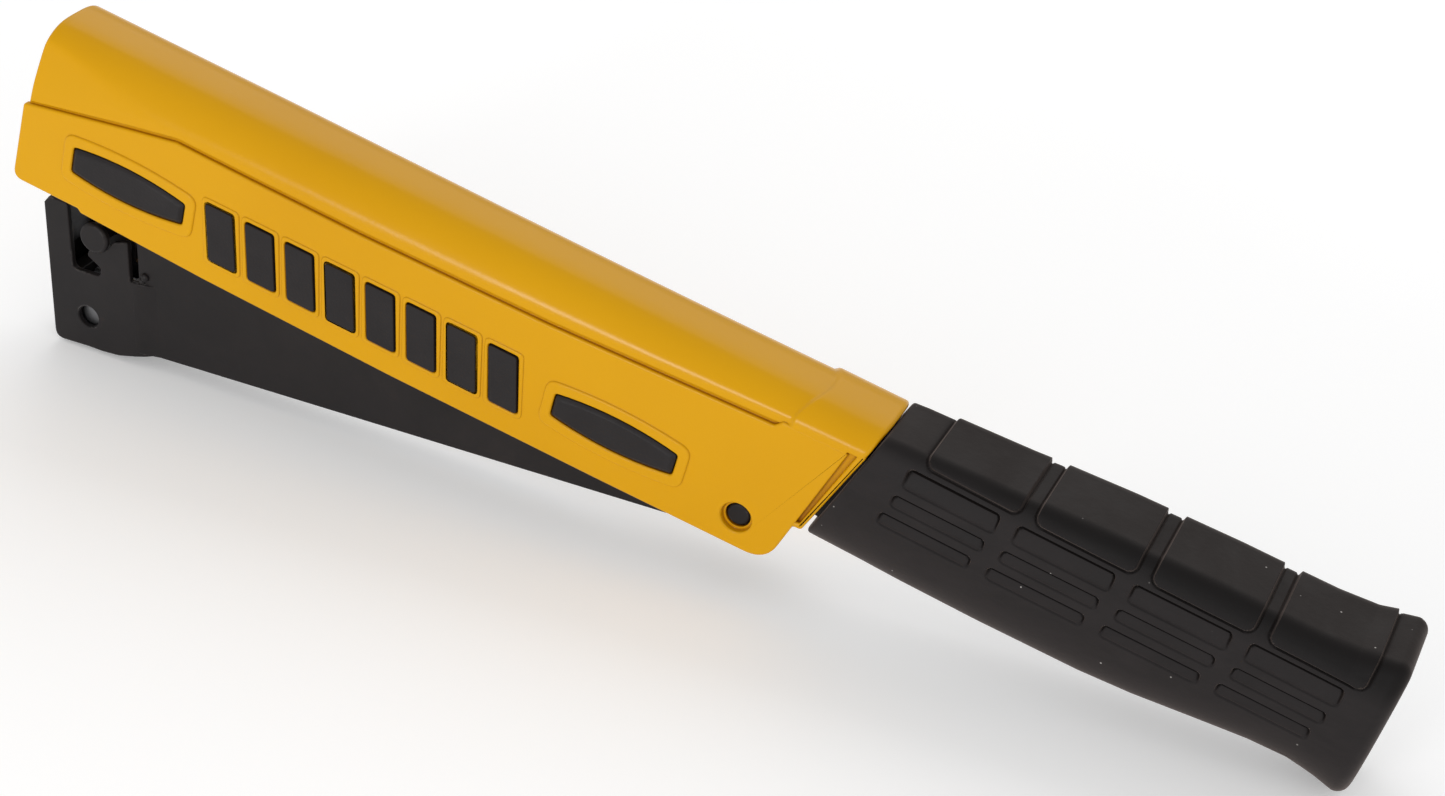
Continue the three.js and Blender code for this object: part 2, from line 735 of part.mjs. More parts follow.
function guideRod() {
  return rodX(1.5, 0, ROD_Z, 26.2, 186.2, 16);
}

function rodEndBracket() {
  const plate = box(23, 25.9, -5.2, 5.2, 1.9, 11.5);
  return plate.subtract(rodX(0.8, 0, ROD_Z, 20, 30, 12));
}

function pusher() {
  let body = box(PUSHER_REAR, PUSHER_FRONT, -5.2, 5.2, -7.4, 10.2);
  body = body.subtract(box(120, 150, -4.7, 4.7, -12, 1.9));
  const slope = [
    new THREE.Vector2(133, 12),
    new THREE.Vector2(133, 10),
    new THREE.Vector2(136, 3),
    new THREE.Vector2(145, 3),
    new THREE.Vector2(145, 12),
  ];
  body = body.subtract(prismY(slope, -9, 9));
  return body.subtract(rodX(1.8, 0, ROD_Z, 120, 150, 16));
}

function springSeat() {
  const plate = box(92, 109, -5.2, 5.2, 11.3, 12.5);
  return plate.add(rodZ(2.6, 100.3, 0, 12, 15.5));
}

function springAnchor() {
  const plate = box(165.2, 166.5, -5.2, 5.2, 11.6, 18.4);
  return plate.subtract(rodX(0.6, 0, 15.0, 160, 170, 10));
}

// ---------------------------------------------------------------- latch
function latchPlate() {
  const outline = rounded([
    [172.6, 12.4, 1],
    [180.0, 16.0, 2],
    [182.6, 19.5, 1.5],
    [182.6, 26.0, 2],
    [178.2, 27.0, 1],
    [177.6, 41.6, 2],
    [154.6, 41.6, 1],
    [154.6, 38.4, 0.6],
    [172.6, 38.4, 1.6],
  ], 4);
  const plate = prismY(outline, -1.5, 1.5);
  return plate.subtract(rodY(LATCH_PIN_RADIUS + GAP, LATCH_PIN_X, LATCH_PIN_Z, -5, 5));
}

function latchPin() {
  const shaft = LATCH_PIN_RADIUS;
  const head = 4.1;
  const half = [
    [shaft, 7.9],
    [head, 7.9],
    [head, 9.1],
    [head - 0.5, 9.6],
  ];
  const profile = [new THREE.Vector2(0, -9.6)];
  for (const [radius, y] of half.slice().reverse()) {
    profile.push(new THREE.Vector2(radius, -y));
  }
  for (const [radius, y] of half) {
    profile.push(new THREE.Vector2(radius, y));
  }
  profile.push(new THREE.Vector2(0, 9.6));
  return toSolid(new THREE.LatheGeometry(profile, 32)).translate([LATCH_PIN_X, 0, LATCH_PIN_Z]);
}

// ---------------------------------------------------------------- assembly
const tool = new THREE.Group();
const handle = new THREE.Group();
const magazine = new THREE.Group();
handle.rotation.y = -THREE.MathUtils.degToRad(HANDLE_TILT);
magazine.rotation.y = THREE.MathUtils.degToRad(OPEN_ANGLE - HANDLE_TILT);
tool.add(handle, magazine);

function place(group, name, solid, colour, roughness, metalness) {
  const material = new THREE.MeshStandardMaterial({ color: colour, roughness, metalness });
  const mesh = new THREE.Mesh(toGeometry(solid), material);
  mesh.name = name;
  group.add(mesh);
}

place(handle, 'housing_shell', housingShell(), COLOURS.yellow, 0.42, 0.0);
place(handle, 'handle_frame', handleFrame(), COLOURS.blackSteel, 0.45, 0.6);
place(handle, 'rubber_grip', rubberGrip(), COLOURS.rubber, 0.75, 0.0);
place(handle, 'pad_front_left', padSolid('front', 1), COLOURS.blackPlastic, 0.6, 0.0);
place(handle, 'pad_front_right', padSolid('front', -1), COLOURS.blackPlastic, 0.6, 0.0);
place(handle, 'pad_rear_left', padSolid('rear', 1), COLOURS.blackPlastic, 0.6, 0.0);
place(handle, 'pad_rear_right', padSolid('rear', -1), COLOURS.blackPlastic, 0.6, 0.0);
place(handle, 'emblem_left', emblemSolid(1), COLOURS.blackPlastic, 0.6, 0.0);
place(handle, 'emblem_right', emblemSolid(-1), COLOURS.blackPlastic, 0.6, 0.0);
place(handle, 'driver_block', driverBlock(), COLOURS.blackSteel, 0.45, 0.6);
place(handle, 'driver_blade', driverBlade(), COLOURS.springSteel, 0.3, 1.0);
place(handle, 'blade_screw_left', bladeScrew(BLADE_SCREW_Y), COLOURS.zinc, 0.35, 1.0);
place(handle, 'blade_screw_right', bladeScrew(-BLADE_SCREW_Y), COLOURS.zinc, 0.35, 1.0);
place(handle, 'block_screw_left', blockScrew(5), COLOURS.zinc, 0.35, 1.0);
place(handle, 'block_screw_right', blockScrew(-5), COLOURS.zinc, 0.35, 1.0);
place(handle, 'pivot_pin', pivotPin(), COLOURS.blackSteel, 0.5, 0.8);
place(handle, 'pivot_spacer_left', pivotSpacer(1), COLOURS.zinc, 0.4, 1.0);
place(handle, 'pivot_spacer_right', pivotSpacer(-1), COLOURS.zinc, 0.4, 1.0);
place(
  handle,
  'stop_bar',
  rodY(STOP_BAR.radius, STOP_BAR.x, STOP_BAR.z, -STOP_BAR.half, STOP_BAR.half, 24),
  COLOURS.blackSteel,
  0.45,
  0.6,
);
place(handle, 'bumper', bumper(), COLOURS.bumperRubber, 0.8, 0.0);
place(
  handle,
  'return_spring',
  coil(new THREE.Vector3(100.3, 0, -8.0), new THREE.Vector3(100.3, 0, 26.0), 4.0, 0.7, 8, 10, 5),
  COLOURS.springSteel,
  0.35,
  1.0,
);

place(magazine, 'magazine_channel', magazineChannel(), COLOURS.blackSteel, 0.5, 0.7);
place(magazine, 'nose_housing', noseHousing(), COLOURS.blackSteel, 0.5, 0.7);
place(magazine, 'nose_heel', noseHeel(), COLOURS.blackSteel, 0.45, 0.8);
place(magazine, 'front_guide', frontGuide(), COLOURS.blackSteel, 0.45, 0.6);
place(magazine, 'staple_rail', stapleRail(), COLOURS.zinc, 0.4, 1.0);
place(magazine, 'staple_stick', stapleStick(), COLOURS.stapleWire, 0.3, 1.0);
place(magazine, 'guide_rod', guideRod(), COLOURS.springSteel, 0.3, 1.0);
place(magazine, 'rod_end_bracket', rodEndBracket(), COLOURS.zinc, 0.4, 1.0);
place(magazine, 'spring_seat', springSeat(), COLOURS.blackSteel, 0.5, 0.7);
place(magazine, 'spring_anchor', springAnchor(), COLOURS.blackSteel, 0.5, 0.7);
place(
  magazine,
  'pusher_spring',
  coil(new THREE.Vector3(27.0, 0, ROD_Z), new THREE.Vector3(126.6, 0, ROD_Z), 2.9, 0.4, 18, 8, 4),
  COLOURS.springSteel,
  0.35,
  1.0,
);
place(magazine, 'pusher', pusher(), COLOURS.zinc, 0.4, 1.0);
place(magazine, 'latch_plate', latchPlate(), COLOURS.blackSteel, 0.45, 0.8);
place(magazine, 'latch_pin', latchPin(), COLOURS.blackSteel, 0.45, 0.8);
place(
  magazine,
  'latch_spring',
  coil(new THREE.Vector3(167.3, 0, 15.0), new THREE.Vector3(171.9, 0, 15.0), 1.9, 0.35, 4, 9, 5),
  COLOURS.springSteel,
  0.35,
  1.0,
);

// Stands the tool on z = 0 with its box centred over the origin.
tool.updateMatrixWorld(true);
const bounds = new THREE.Box3().setFromObject(tool, true);
tool.position.set(
  -(bounds.min.x + bounds.max.x) / 2,
  -(bounds.min.y + bounds.max.y) / 2,
  -bounds.min.z,
);
tool.updateMatrixWorld(true);

export default tool;
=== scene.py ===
"""Looks of the hammer tacker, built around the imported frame.

Shapes are drawn in millimetres in two drawing frames that share the rear pivot as their origin:
the handle frame and the magazine frame. In both, X points to the nose, Z to the crown of the cover
and +Y to the side that the camera sees.
"""

import json
import math

import bmesh
import bpy
import numpy as np
from mathutils import Matrix, Vector


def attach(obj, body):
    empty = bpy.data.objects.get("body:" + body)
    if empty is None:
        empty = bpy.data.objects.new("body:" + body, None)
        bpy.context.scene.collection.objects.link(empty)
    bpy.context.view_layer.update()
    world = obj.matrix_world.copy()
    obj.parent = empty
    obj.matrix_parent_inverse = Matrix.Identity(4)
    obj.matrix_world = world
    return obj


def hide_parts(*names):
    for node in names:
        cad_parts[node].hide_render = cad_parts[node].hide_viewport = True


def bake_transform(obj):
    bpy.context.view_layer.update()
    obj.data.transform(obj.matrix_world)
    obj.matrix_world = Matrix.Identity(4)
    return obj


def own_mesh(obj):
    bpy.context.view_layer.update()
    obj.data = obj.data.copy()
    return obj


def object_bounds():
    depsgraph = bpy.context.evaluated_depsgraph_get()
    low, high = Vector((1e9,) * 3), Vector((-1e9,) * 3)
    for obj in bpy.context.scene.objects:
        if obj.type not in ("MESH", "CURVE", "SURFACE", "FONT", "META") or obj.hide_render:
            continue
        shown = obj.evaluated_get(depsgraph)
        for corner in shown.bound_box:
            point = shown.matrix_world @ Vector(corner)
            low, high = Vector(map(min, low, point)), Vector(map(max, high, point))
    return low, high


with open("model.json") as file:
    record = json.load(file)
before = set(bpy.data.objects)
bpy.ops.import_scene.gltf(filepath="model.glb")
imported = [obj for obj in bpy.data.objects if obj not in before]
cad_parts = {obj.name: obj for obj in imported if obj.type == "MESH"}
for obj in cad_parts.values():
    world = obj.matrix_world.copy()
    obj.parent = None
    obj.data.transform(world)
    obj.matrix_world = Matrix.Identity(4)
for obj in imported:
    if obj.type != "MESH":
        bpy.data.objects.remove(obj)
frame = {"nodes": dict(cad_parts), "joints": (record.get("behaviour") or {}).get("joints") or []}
cad_low, cad_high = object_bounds()
nodes = frame["nodes"]
PIVOT = Vector(next(j["pos_m"] for j in frame["joints"] if j["name"] == "magazine_swing"))
HANDLE_TILT = math.radians(-9.46)
MAGAZINE_TILT = math.radians(2.94)

# ------------------------------------------------------------------ dimensions, mm
GAP = 0.3
SIDE_AT_PIVOT = 12.75
SIDE_TAPER = 0.0115
PANEL_RISE = 0.7
WALL = 1.6
CROWN_TOP = 36.6
CROWN_POWER = 3.4
CROWN_START = 0.34
CREASE_ROUND = 1.4
COVER_LOW = -20.0
COVER_BOTTOM = -7.9
COVER_FRONT_BOTTOM = -6.1
COVER_FRONT = 200.3
FRONT_LEAN = 0.03
FRONT_ROUND = 1.1
RIM_ROUND = 1.0
COLLAR_RISE = 0.67
REAR_CORNER_X = -9.9
# (x, z) along the crown's lower edge and along the panel's top edge.
CREASE = [(-30, 32.5), (-7, 31.9), (31, 29.8), (57, 28.8), (83, 28.2), (110, 28.0), (138, 28.1),
          (160, 27.6), (205, 26.4)]
PANEL_TOP = [(-3, 28.6), (56, 25.7), (107, 24.8), (138, 25.0), (158, 25.3), (172, 22.3)]
# Three points of the plane that cuts the crown's upper front corner.
FACET = ((200.3, 14.35, 16.1), (168.0, 14.0, 27.2), (200.3, 10.4, 33.2))
BEZEL = 0.5
BAR_BEZEL = 0.3
FLANGE_OUT = -(PANEL_RISE + WALL + GAP)
FLANGE_IN = FLANGE_OUT - 0.8
# Start, end, rear and front half height, centre height and bulge of each inset pad.
PADS = {
    "rear": (17.8, 49.8, 2.75, 2.95, 6.0, 1.6),
    "front": (153.0, 184.6, 2.75, 3.3, 7.3, 1.6),
}
BAR_COUNT = 8
BAR_PITCH = 11.2
BAR_WIDTH = 7.6
BAR_FIRST_X = 58.0
BAR_BOTTOM = -1.4
BAR_TOP = 13.6
BAR_SLANT = 3.4
COUNTERBORE = 3.95
PIVOT_HOLE = 3.2
NOSE_OUT = 7.5
# Radius, x and z.
NOSE_HOLE = (3.0, 184.1, -2.7)
HEEL_HALF = 5.95
HEEL_FRONT = 184.7

# (x, z) of the grip's top and underside, and (x, half width).
GRIP_TOP = [(-152, 44.3), (-146, 44.1), (-142, 43.1), (-137, 41.6), (-128, 40.8), (-105, 40.7),
            (-80, 39.9), (-62, 38.7), (-55, 38.1), (-38, 37.2), (-15, 36.2)]
GRIP_BOTTOM = [(-152, 3.1), (-147, 3.1), (-141, 4.6), (-134, 5.7), (-125, 5.3), (-112, 3.6),
               (-98, 1.7), (-85, 0.7), (-60, 0.3), (-40, 0.4), (-12, 1.2)]
GRIP_HALF = [(-152, 14.4), (-146, 14.4), (-138, 13.6), (-120, 13.4), (-60, 13.4), (-10, 12.9)]
GRIP_REAR = -148.8
GRIP_REAR_ROUND = 3.0
GRIP_FRONT_ROUND = 0.8
GRIP_BLEND = -29.5
# Size and depth of the rings that shape the butt's hollow, from the middle out.
BUTT_DISH = ((0.2, 0.55), (0.5, 0.55), (0.72, 0.5), (0.78, 0.38), (0.82, 0.12), (0.86, 0.0),
             (0.93, 0.0))
# Start and end of each raised pad; low and high edge and shift in x of each strip.
GRIP_PADS = ((-59.5, -36.4), (-87.5, -63.5), (-115.3, -91.6), (-141.3, -119.2))
PAD_EDGE_Z = 35.7
STRIPS = ((28.7, 33.8, 3.1), (23.0, 26.5, 4.1), (17.2, 20.8, 5.5))
# The grip's rows of points stay level between these heights.
STRIP_ZONE = (16.0, 36.0)
# Painted shade: the grip darkens towards its top between these heights over the pivot, in metres.
TOP_SHADE_HEIGHTS = (0.033, 0.0385)


# ------------------------------------------------------------------ mesh helpers
def placed(points, tilt):
    """Drawing-frame millimetres to row-frame metres."""
    p = np.asarray(points, float) / 1000.0
    c, s = math.cos(tilt), math.sin(tilt)
    out = np.empty_like(p)
    out[:, 0] = p[:, 0] * c + p[:, 2] * s + PIVOT.x
    out[:, 1] = p[:, 1] + PIVOT.y
    out[:, 2] = -p[:, 0] * s + p[:, 2] * c + PIVOT.z
    return out


def new_object(name, points, faces):
    mesh = bpy.data.meshes.new(name)
    mesh.from_pydata(np.asarray(points, float).tolist(), [], [list(f) for f in faces])
    obj = bpy.data.objects.new(name, mesh)
    bpy.context.scene.collection.objects.link(obj)
    return obj


def outward(obj):
    """Turns the faces of a closed mesh to point out."""
    bm = bmesh.new()
    bm.from_mesh(obj.data)
    if bm.calc_volume(signed=True) < 0:
        bmesh.ops.reverse_faces(bm, faces=bm.faces)
    bm.to_mesh(obj.data)
    bm.free()
    return obj


def baked(obj):
    """Applies the object's modifiers to its mesh."""
    graph = bpy.context.evaluated_depsgraph_get()
    mesh = bpy.data.meshes.new_from_object(obj.evaluated_get(graph))
    obj.modifiers.clear()
    old = obj.data
    obj.data = mesh
    bpy.data.meshes.remove(old)
    return obj


def combine(base, other, operation):
    """Joins or cuts two closed meshes; other is used up."""
    cut = base.modifiers.new("cut", "BOOLEAN")
    cut.operation = operation
    cut.solver = "MANIFOLD"
    cut.object = other
    baked(base)
    mesh = other.data
    bpy.data.objects.remove(other)
    bpy.data.meshes.remove(mesh)
    return base


def finished(obj, name, tilt, body, look, stands_for, angle, weighted=True):
    """Moves a drawn mesh into the row frame and gives it its name, body, shading and look."""
    if tilt is not None:
        co = np.empty(len(obj.data.vertices) * 3)
        obj.data.vertices.foreach_get("co", co)
        obj.data.vertices.foreach_set("co", placed(co.reshape(-1, 3), tilt).ravel())
    obj.name = name
    obj.data.name = name
    bm = bmesh.new()
    bm.from_mesh(obj.data)
    bmesh.ops.dissolve_degenerate(bm, dist=1e-5, edges=bm.edges)
    bm.to_mesh(obj.data)
    bm.free()
    for polygon in obj.data.polygons:
        polygon.use_smooth = True
    obj.data.set_sharp_from_angle(angle=math.radians(angle))
    obj.data.update()
    if weighted:
        normals = obj.modifiers.new("normals", "WEIGHTED_NORMAL")
        normals.keep_sharp = True
        normals.weight = 80
        baked(obj)
    obj.data.materials.clear()
    obj.data.materials.append(look)
    if body is not None:
        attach(obj, body)
    if stands_for:
        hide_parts(*stands_for)
    return obj


def between(x, table):
    return np.interp(x, [t[0] for t in table], [t[1] for t in table])


def ease(t):
    t = np.clip(t, 0.0, 1.0)
    return t * t * (3.0 - 2.0 * t)


def rounded(corners, segments):
    """Rounds the corners of a polygon. Each corner is (x, y, radius)."""
    points = []
    count = len(corners)
    for i, (x, y, *rest) in enumerate(corners):
        radius = rest[0] if rest else 0
        corner = np.array((x, y), float)
        if radius == 0:
            points.append(corner)
            continue
        before = np.array(corners[i - 1][:2], float) - corner
        after = np.array(corners[(i + 1) % count][:2], float) - corner
        before /= np.linalg.norm(before)
        after /= np.linalg.norm(after)
        half_angle = math.acos(max(-1, min(1, before @ after))) / 2
        reach = radius / math.tan(half_angle)
        start, end = corner + before * reach, corner + after * reach
        for k in range(segments + 1):
            t = k / segments
            a = start * (1 - t) + corner * t
            b = corner * (1 - t) + end * t
            points.append(a * (1 - t) + b * t)
    return np.array(points)


def grown(outline, amount):
    """Offsets a polygon outwards by amount, or inwards if it is negative."""
    p = np.asarray(outline, float)
    area = np.sum(p[:, 0] * np.roll(p[:, 1], -1) - np.roll(p[:, 0], -1) * p[:, 1])
    edge = np.roll(p, -1, axis=0) - p
    edge /= np.maximum(np.linalg.norm(edge, axis=1), 1e-9)[:, None]
    normal = np.stack([edge[:, 1], -edge[:, 0]], axis=1) * (1 if area > 0 else -1)
    mean = normal + np.roll(normal, 1, axis=0)
    mean /= np.maximum(np.linalg.norm(mean, axis=1), 1e-9)[:, None]
    reach = 1.0 / np.maximum(0.5, np.sum(mean * normal, axis=1))
    return p + mean * (amount * reach)[:, None]


def stacked(name, rings, place=lambda ring: ring):
    """A closed solid through rings of equal length, with flat ends."""
    points = np.concatenate([place(np.asarray(r, float)) for r in rings])
    n = len(rings[0])
    faces = []
    for k in range(len(rings) - 1):
        for i in range(n):
            j = (i + 1) % n
            faces.append((k * n + i, k * n + j, (k + 1) * n + j, (k + 1) * n + i))
    faces.append(tuple(range(n))[::-1])
    faces.append(tuple(range((len(rings) - 1) * n, len(rings) * n)))
    return outward(new_object(name, points, faces))


def plate(outline, levels, side=0):
    """A solid of an (x, z) outline through levels of (y, growth), on a side panel if side is set."""
    rings = []
    for y, growth in levels:
        p = grown(outline, growth) if growth else np.asarray(outline, float)
        rings.append(np.stack([p[:, 0], np.full(len(p), float(y)), p[:, 1]], axis=1))
    return stacked("plate", rings, lambda ring: on_side(ring, side) if side else ring)


def on_side(points, side):
    """Takes points drawn at y = 0 on a side panel out onto that panel."""
    angle = math.atan(SIDE_TAPER)
    c, s = math.cos(angle), math.sin(angle)
    x = points[:, 0] * c - points[:, 1] * s
    y = points[:, 0] * s + points[:, 1] * c + SIDE_AT_PIVOT
    return np.stack([x, y * side, points[:, 2]], axis=1)


def round_edge(y0, y1, radius, steps=4):
    """Levels of a plate whose outer edge is rounded."""
    levels = [(y0, 0.0)]
    for k in range(steps + 1):
        angle = math.pi / 2 * k / steps
        levels.append((y1 - radius + radius * math.sin(angle), -radius * (1 - math.cos(angle))))
    return levels


def slab_levels(half, edge, steps):
    """Levels of a plate from -half to half with both outer edges rounded."""
    levels = []
    for angle in np.linspace(0, math.pi / 2, steps):
        levels.append((edge * (1 - math.cos(angle)) - half, -edge * (1 - math.sin(angle))))
    return levels + [(-y, growth) for y, growth in levels[::-1]]


def drilled(radius, x, z, y0, y1, flare=0.0):
    """A cylinder along Y, widened over its last part by flare."""
    angles = np.linspace(0, 2 * math.pi, 64, endpoint=False)
    levels = [(y0, 0.0), (y1, 0.0)]
    if flare:
        levels = [(y0, 0.0), (y1 - flare, 0.0), (y1 + 1, flare + 1)]
    rings = []
    for y, growth in levels:
        r = radius + growth
        rings.append(np.stack([x + r * np.cos(angles), np.full(len(angles), float(y)),
                               z + r * np.sin(angles)], axis=1))
    return stacked("drill", rings)


def countersink(radius, x, z, y0, y1, side):
    """A drill for one side, with a small bevel at its mouth."""
    sink = drilled(radius, x, z, y0, y1, 0.3)
    return sink if side > 0 else mirrored(sink)


def mirrored(obj):
    """Mirrors a drawn mesh to the other side."""
    co = np.empty(len(obj.data.vertices) * 3)
    obj.data.vertices.foreach_get("co", co)
    co[1::3] *= -1
    obj.data.vertices.foreach_set("co", co)
    return outward(obj)


# ------------------------------------------------------------------ materials
def material(name, colour, roughness, metallic=0.0):
    made = bpy.data.materials.new(name)
    made.use_nodes = True
    shader = made.node_tree.nodes["Principled BSDF"]
    shader.inputs["Base Color"].default_value = (*colour, 1.0)
    shader.inputs["Roughness"].default_value = roughness
    shader.inputs["Metallic"].default_value = metallic
    return made, made.node_tree, shader


def node(tree, kind, inputs=None, **settings):
    made = tree.nodes.new(kind)
    for key, value in settings.items():
        setattr(made, key, value)
    for key, value in (inputs or {}).items():
        if isinstance(value, bpy.types.NodeSocket):
            tree.links.new(value, made.inputs[key])
        else:
            made.inputs[key].default_value = value
    return made


def position(tree):
    return node(tree, "ShaderNodeTexCoord").outputs["Object"]


def noise(tree, scale, detail, rough=0.55, distortion=0.0, stretch=None):
    where = position(tree)
    if stretch:
        where = node(tree, "ShaderNodeMapping", {"Vector": where, "Scale": stretch}).outputs["Vector"]
    return node(tree, "ShaderNodeTexNoise",
                {"Vector": where, "Scale": scale, "Detail": detail, "Roughness": rough,
                 "Distortion": distortion}).outputs["Fac"]


def ramp(tree, value, stops):
    made = node(tree, "ShaderNodeValToRGB", {"Fac": value})
    elements = made.color_ramp.elements
    while len(elements) < len(stops):
        elements.new(0.5)
    for element, (place, colour) in zip(elements, stops):
        element.position = place
        element.color = colour if isinstance(colour, tuple) else (colour, colour, colour, 1.0)
    return made.outputs["Color"]


def spread(tree, value, low, high, out_low, out_high):
    return node(tree, "ShaderNodeMapRange",
                {"Value": value, "From Min": low, "From Max": high,
                 "To Min": out_low, "To Max": out_high}).outputs["Result"]


def mixed(tree, factor, a, b, blend="MIX"):
    made = node(tree, "ShaderNodeMix", data_type="RGBA", blend_type=blend)
    for socket, value in (("Factor", factor), ("A", a), ("B", b)):
        target = next(s for s in made.inputs if s.name == socket and s.enabled
                      and s.type == ("VALUE" if socket == "Factor" else "RGBA"))
        if isinstance(value, bpy.types.NodeSocket):
            tree.links.new(value, target)
        else:
            target.default_value = value
    return next(s for s in made.outputs if s.type == "RGBA")


def bumps(tree, shader, layers, soft_edge=0.0):
    """Stacks bump layers of (height, strength, distance) on top of softly rounded edges."""
    normal = None
    if soft_edge:
        normal = node(tree, "ShaderNodeBevel", {"Radius": soft_edge}, samples=4).outputs["Normal"]
    for height, strength, distance in layers:
        inputs = {"Height": height, "Strength": strength, "Distance": distance}
        if normal is not None:
            inputs["Normal"] = normal
        normal = node(tree, "ShaderNodeBump", inputs).outputs["Normal"]
    tree.links.new(normal, shader.inputs["Normal"])


# Ambient occlusion; the materials use it to paint shade into crevices and recesses.
def crevices(tree, distance):
    return node(tree, "ShaderNodeAmbientOcclusion", {"Distance": distance}, samples=8).outputs["AO"]


def cells(tree, scale):
    return node(tree, "ShaderNodeTexVoronoi", {"Vector": position(tree), "Scale": scale})


def product(tree, a, b):
    return node(tree, "ShaderNodeMath", {0: a, 1: b}, operation="MULTIPLY").outputs[0]


def two_tone(tree, scale, detail, low, high):
    """Two colours, mixed by soft noise."""
    return ramp(tree, noise(tree, scale, detail), [(0.3, (*low, 1)), (0.7, (*high, 1))])


def set_roughness(tree, shader, pattern, low, high):
    tree.links.new(spread(tree, pattern, 0.3, 0.7, low, high), shader.inputs["Roughness"])


def make_yellow():
    made, tree, shader = material("cover_paint", (0.70, 0.34, 0.004), 0.4)
    colour = two_tone(tree, 14.0, 2.0, (0.635, 0.308, 0.0006), (0.672, 0.335, 0.0008))
    # Painted shade: the paint is darkened towards orange in crevices and recesses, found by ambient
    # occlusion.
    crevice_shade = ramp(tree, crevices(tree, 0.0016), [(0.35, (0.36, 0.13, 0.003, 1)), (0.75, (1, 1, 1, 1))])
    colour = mixed(tree, 0.75, colour, crevice_shade, "MULTIPLY")
    flecks = ramp(tree, cells(tree, 260.0).outputs["Distance"], [(0.012, 0.45), (0.030, 1.0)])
    patches = ramp(tree, noise(tree, 60.0, 2.0), [(0.62, 0.0), (0.66, 1.0)])
    colour = mixed(tree, patches, colour, mixed(tree, 1.0, colour, flecks, "MULTIPLY"))
    tree.links.new(colour, shader.inputs["Base Color"])
    set_roughness(tree, shader, noise(tree, 35.0, 4.0), 0.21, 0.27)
    shader.inputs["Specular IOR Level"].default_value = 0.17
    peel = (noise(tree, 120.0, 2.0), 0.10, 0.0006)
    fine = (noise(tree, 900.0, 2.0), 0.10, 0.0002)
    bumps(tree, shader, [peel, fine], 0.00035)
    return made


def dust(tree):
    """Specks in some of the cells, gathered in patches."""
    spots = cells(tree, 330.0)
    dot = ramp(tree, spots.outputs["Distance"], [(0.045, 1.0), (0.085, 0.0)])
    draw = node(tree, "ShaderNodeSeparateColor", {"Color": spots.outputs["Color"]}).outputs["Red"]
    chosen = ramp(tree, draw, [(0.76, 0.0), (0.80, 1.0)])
    where = ramp(tree, noise(tree, 38.0, 2.0), [(0.36, 0.0), (0.52, 1.0)])
    return product(tree, product(tree, dot, chosen), where)


def top_shade(tree):
    """Painted shade: darker towards the top of the grip."""
    up = (math.sin(HANDLE_TILT), 0.0, math.cos(HANDLE_TILT))
    height = node(tree, "ShaderNodeVectorMath", {0: position(tree), 1: up}, operation="DOT_PRODUCT")
    low, high = (PIVOT.dot(up) + z for z in TOP_SHADE_HEIGHTS)
    return spread(tree, height.outputs["Value"], low, high, 1.0, 0.30)


def make_rubber():
    made, tree, shader = material("grip_rubber", (0.017, 0.0155, 0.016), 0.62)
    scuffs = noise(tree, 55.0, 5.0, 0.65, 0.6, (1.0, 1.0, 3.0))
    base = ramp(tree, scuffs, [(0.35, (0.0130, 0.0112, 0.0114, 1)), (0.7, (0.0200, 0.0172, 0.0174, 1))])
    # Painted shade: darkens the rubber towards the grip's top.
    base = mixed(tree, 1.0, base, top_shade(tree), "MULTIPLY")
    shade = ramp(tree, crevices(tree, 0.0011), [(0.30, 0.12), (0.80, 1.0)])
    base = mixed(tree, 1.0, base, shade, "MULTIPLY")
    tree.links.new(mixed(tree, dust(tree), base, (0.42, 0.40, 0.38, 1)), shader.inputs["Base Color"])
    set_roughness(tree, shader, scuffs, 0.52, 0.70)
    shader.inputs["Sheen Weight"].default_value = 0.22
    shader.inputs["Sheen Roughness"].default_value = 0.45
    shader.inputs["Sheen Tint"].default_value = (0.80, 0.62, 0.55, 1.0)
    shader.inputs["Specular IOR Level"].default_value = 0.14
    waves = (noise(tree, 90.0, 3.0), 0.12, 0.0010)
    grain = (noise(tree, 700.0, 4.0, 0.6), 0.22, 0.00018)
    bumps(tree, shader, [waves, grain])
    return made


def make_black_plastic():
    made, tree, shader = material("inset_plastic", (0.028, 0.023, 0.024), 0.5)
    tone = two_tone(tree, 70.0, 3.0, (0.0125, 0.0102, 0.0106), (0.0175, 0.0146, 0.0150))
    tree.links.new(tone, shader.inputs["Base Color"])
    set_roughness(tree, shader, noise(tree, 160.0, 3.0), 0.44, 0.56)
    shader.inputs["Specular IOR Level"].default_value = 0.22
    bumps(tree, shader, [(cells(tree, 1500.0).outputs["Distance"], 0.25, 0.00012)], 0.00025)
    return made


def edge_wear(tree):
    """Bare metal in patches along the edges."""
    soft = node(tree, "ShaderNodeBevel", {"Radius": 0.0005}, samples=4).outputs["Normal"]
    hard = node(tree, "ShaderNodeNewGeometry").outputs["Normal"]
    same = node(tree, "ShaderNodeVectorMath", {0: soft, 1: hard}, operation="DOT_PRODUCT")
    edge = spread(tree, same.outputs["Value"], 0.999, 0.93, 0.0, 1.0)
    patch = ramp(tree, noise(tree, 160.0, 4.0, 0.7), [(0.50, 0.0), (0.66, 0.5)])
    return product(tree, edge, patch)


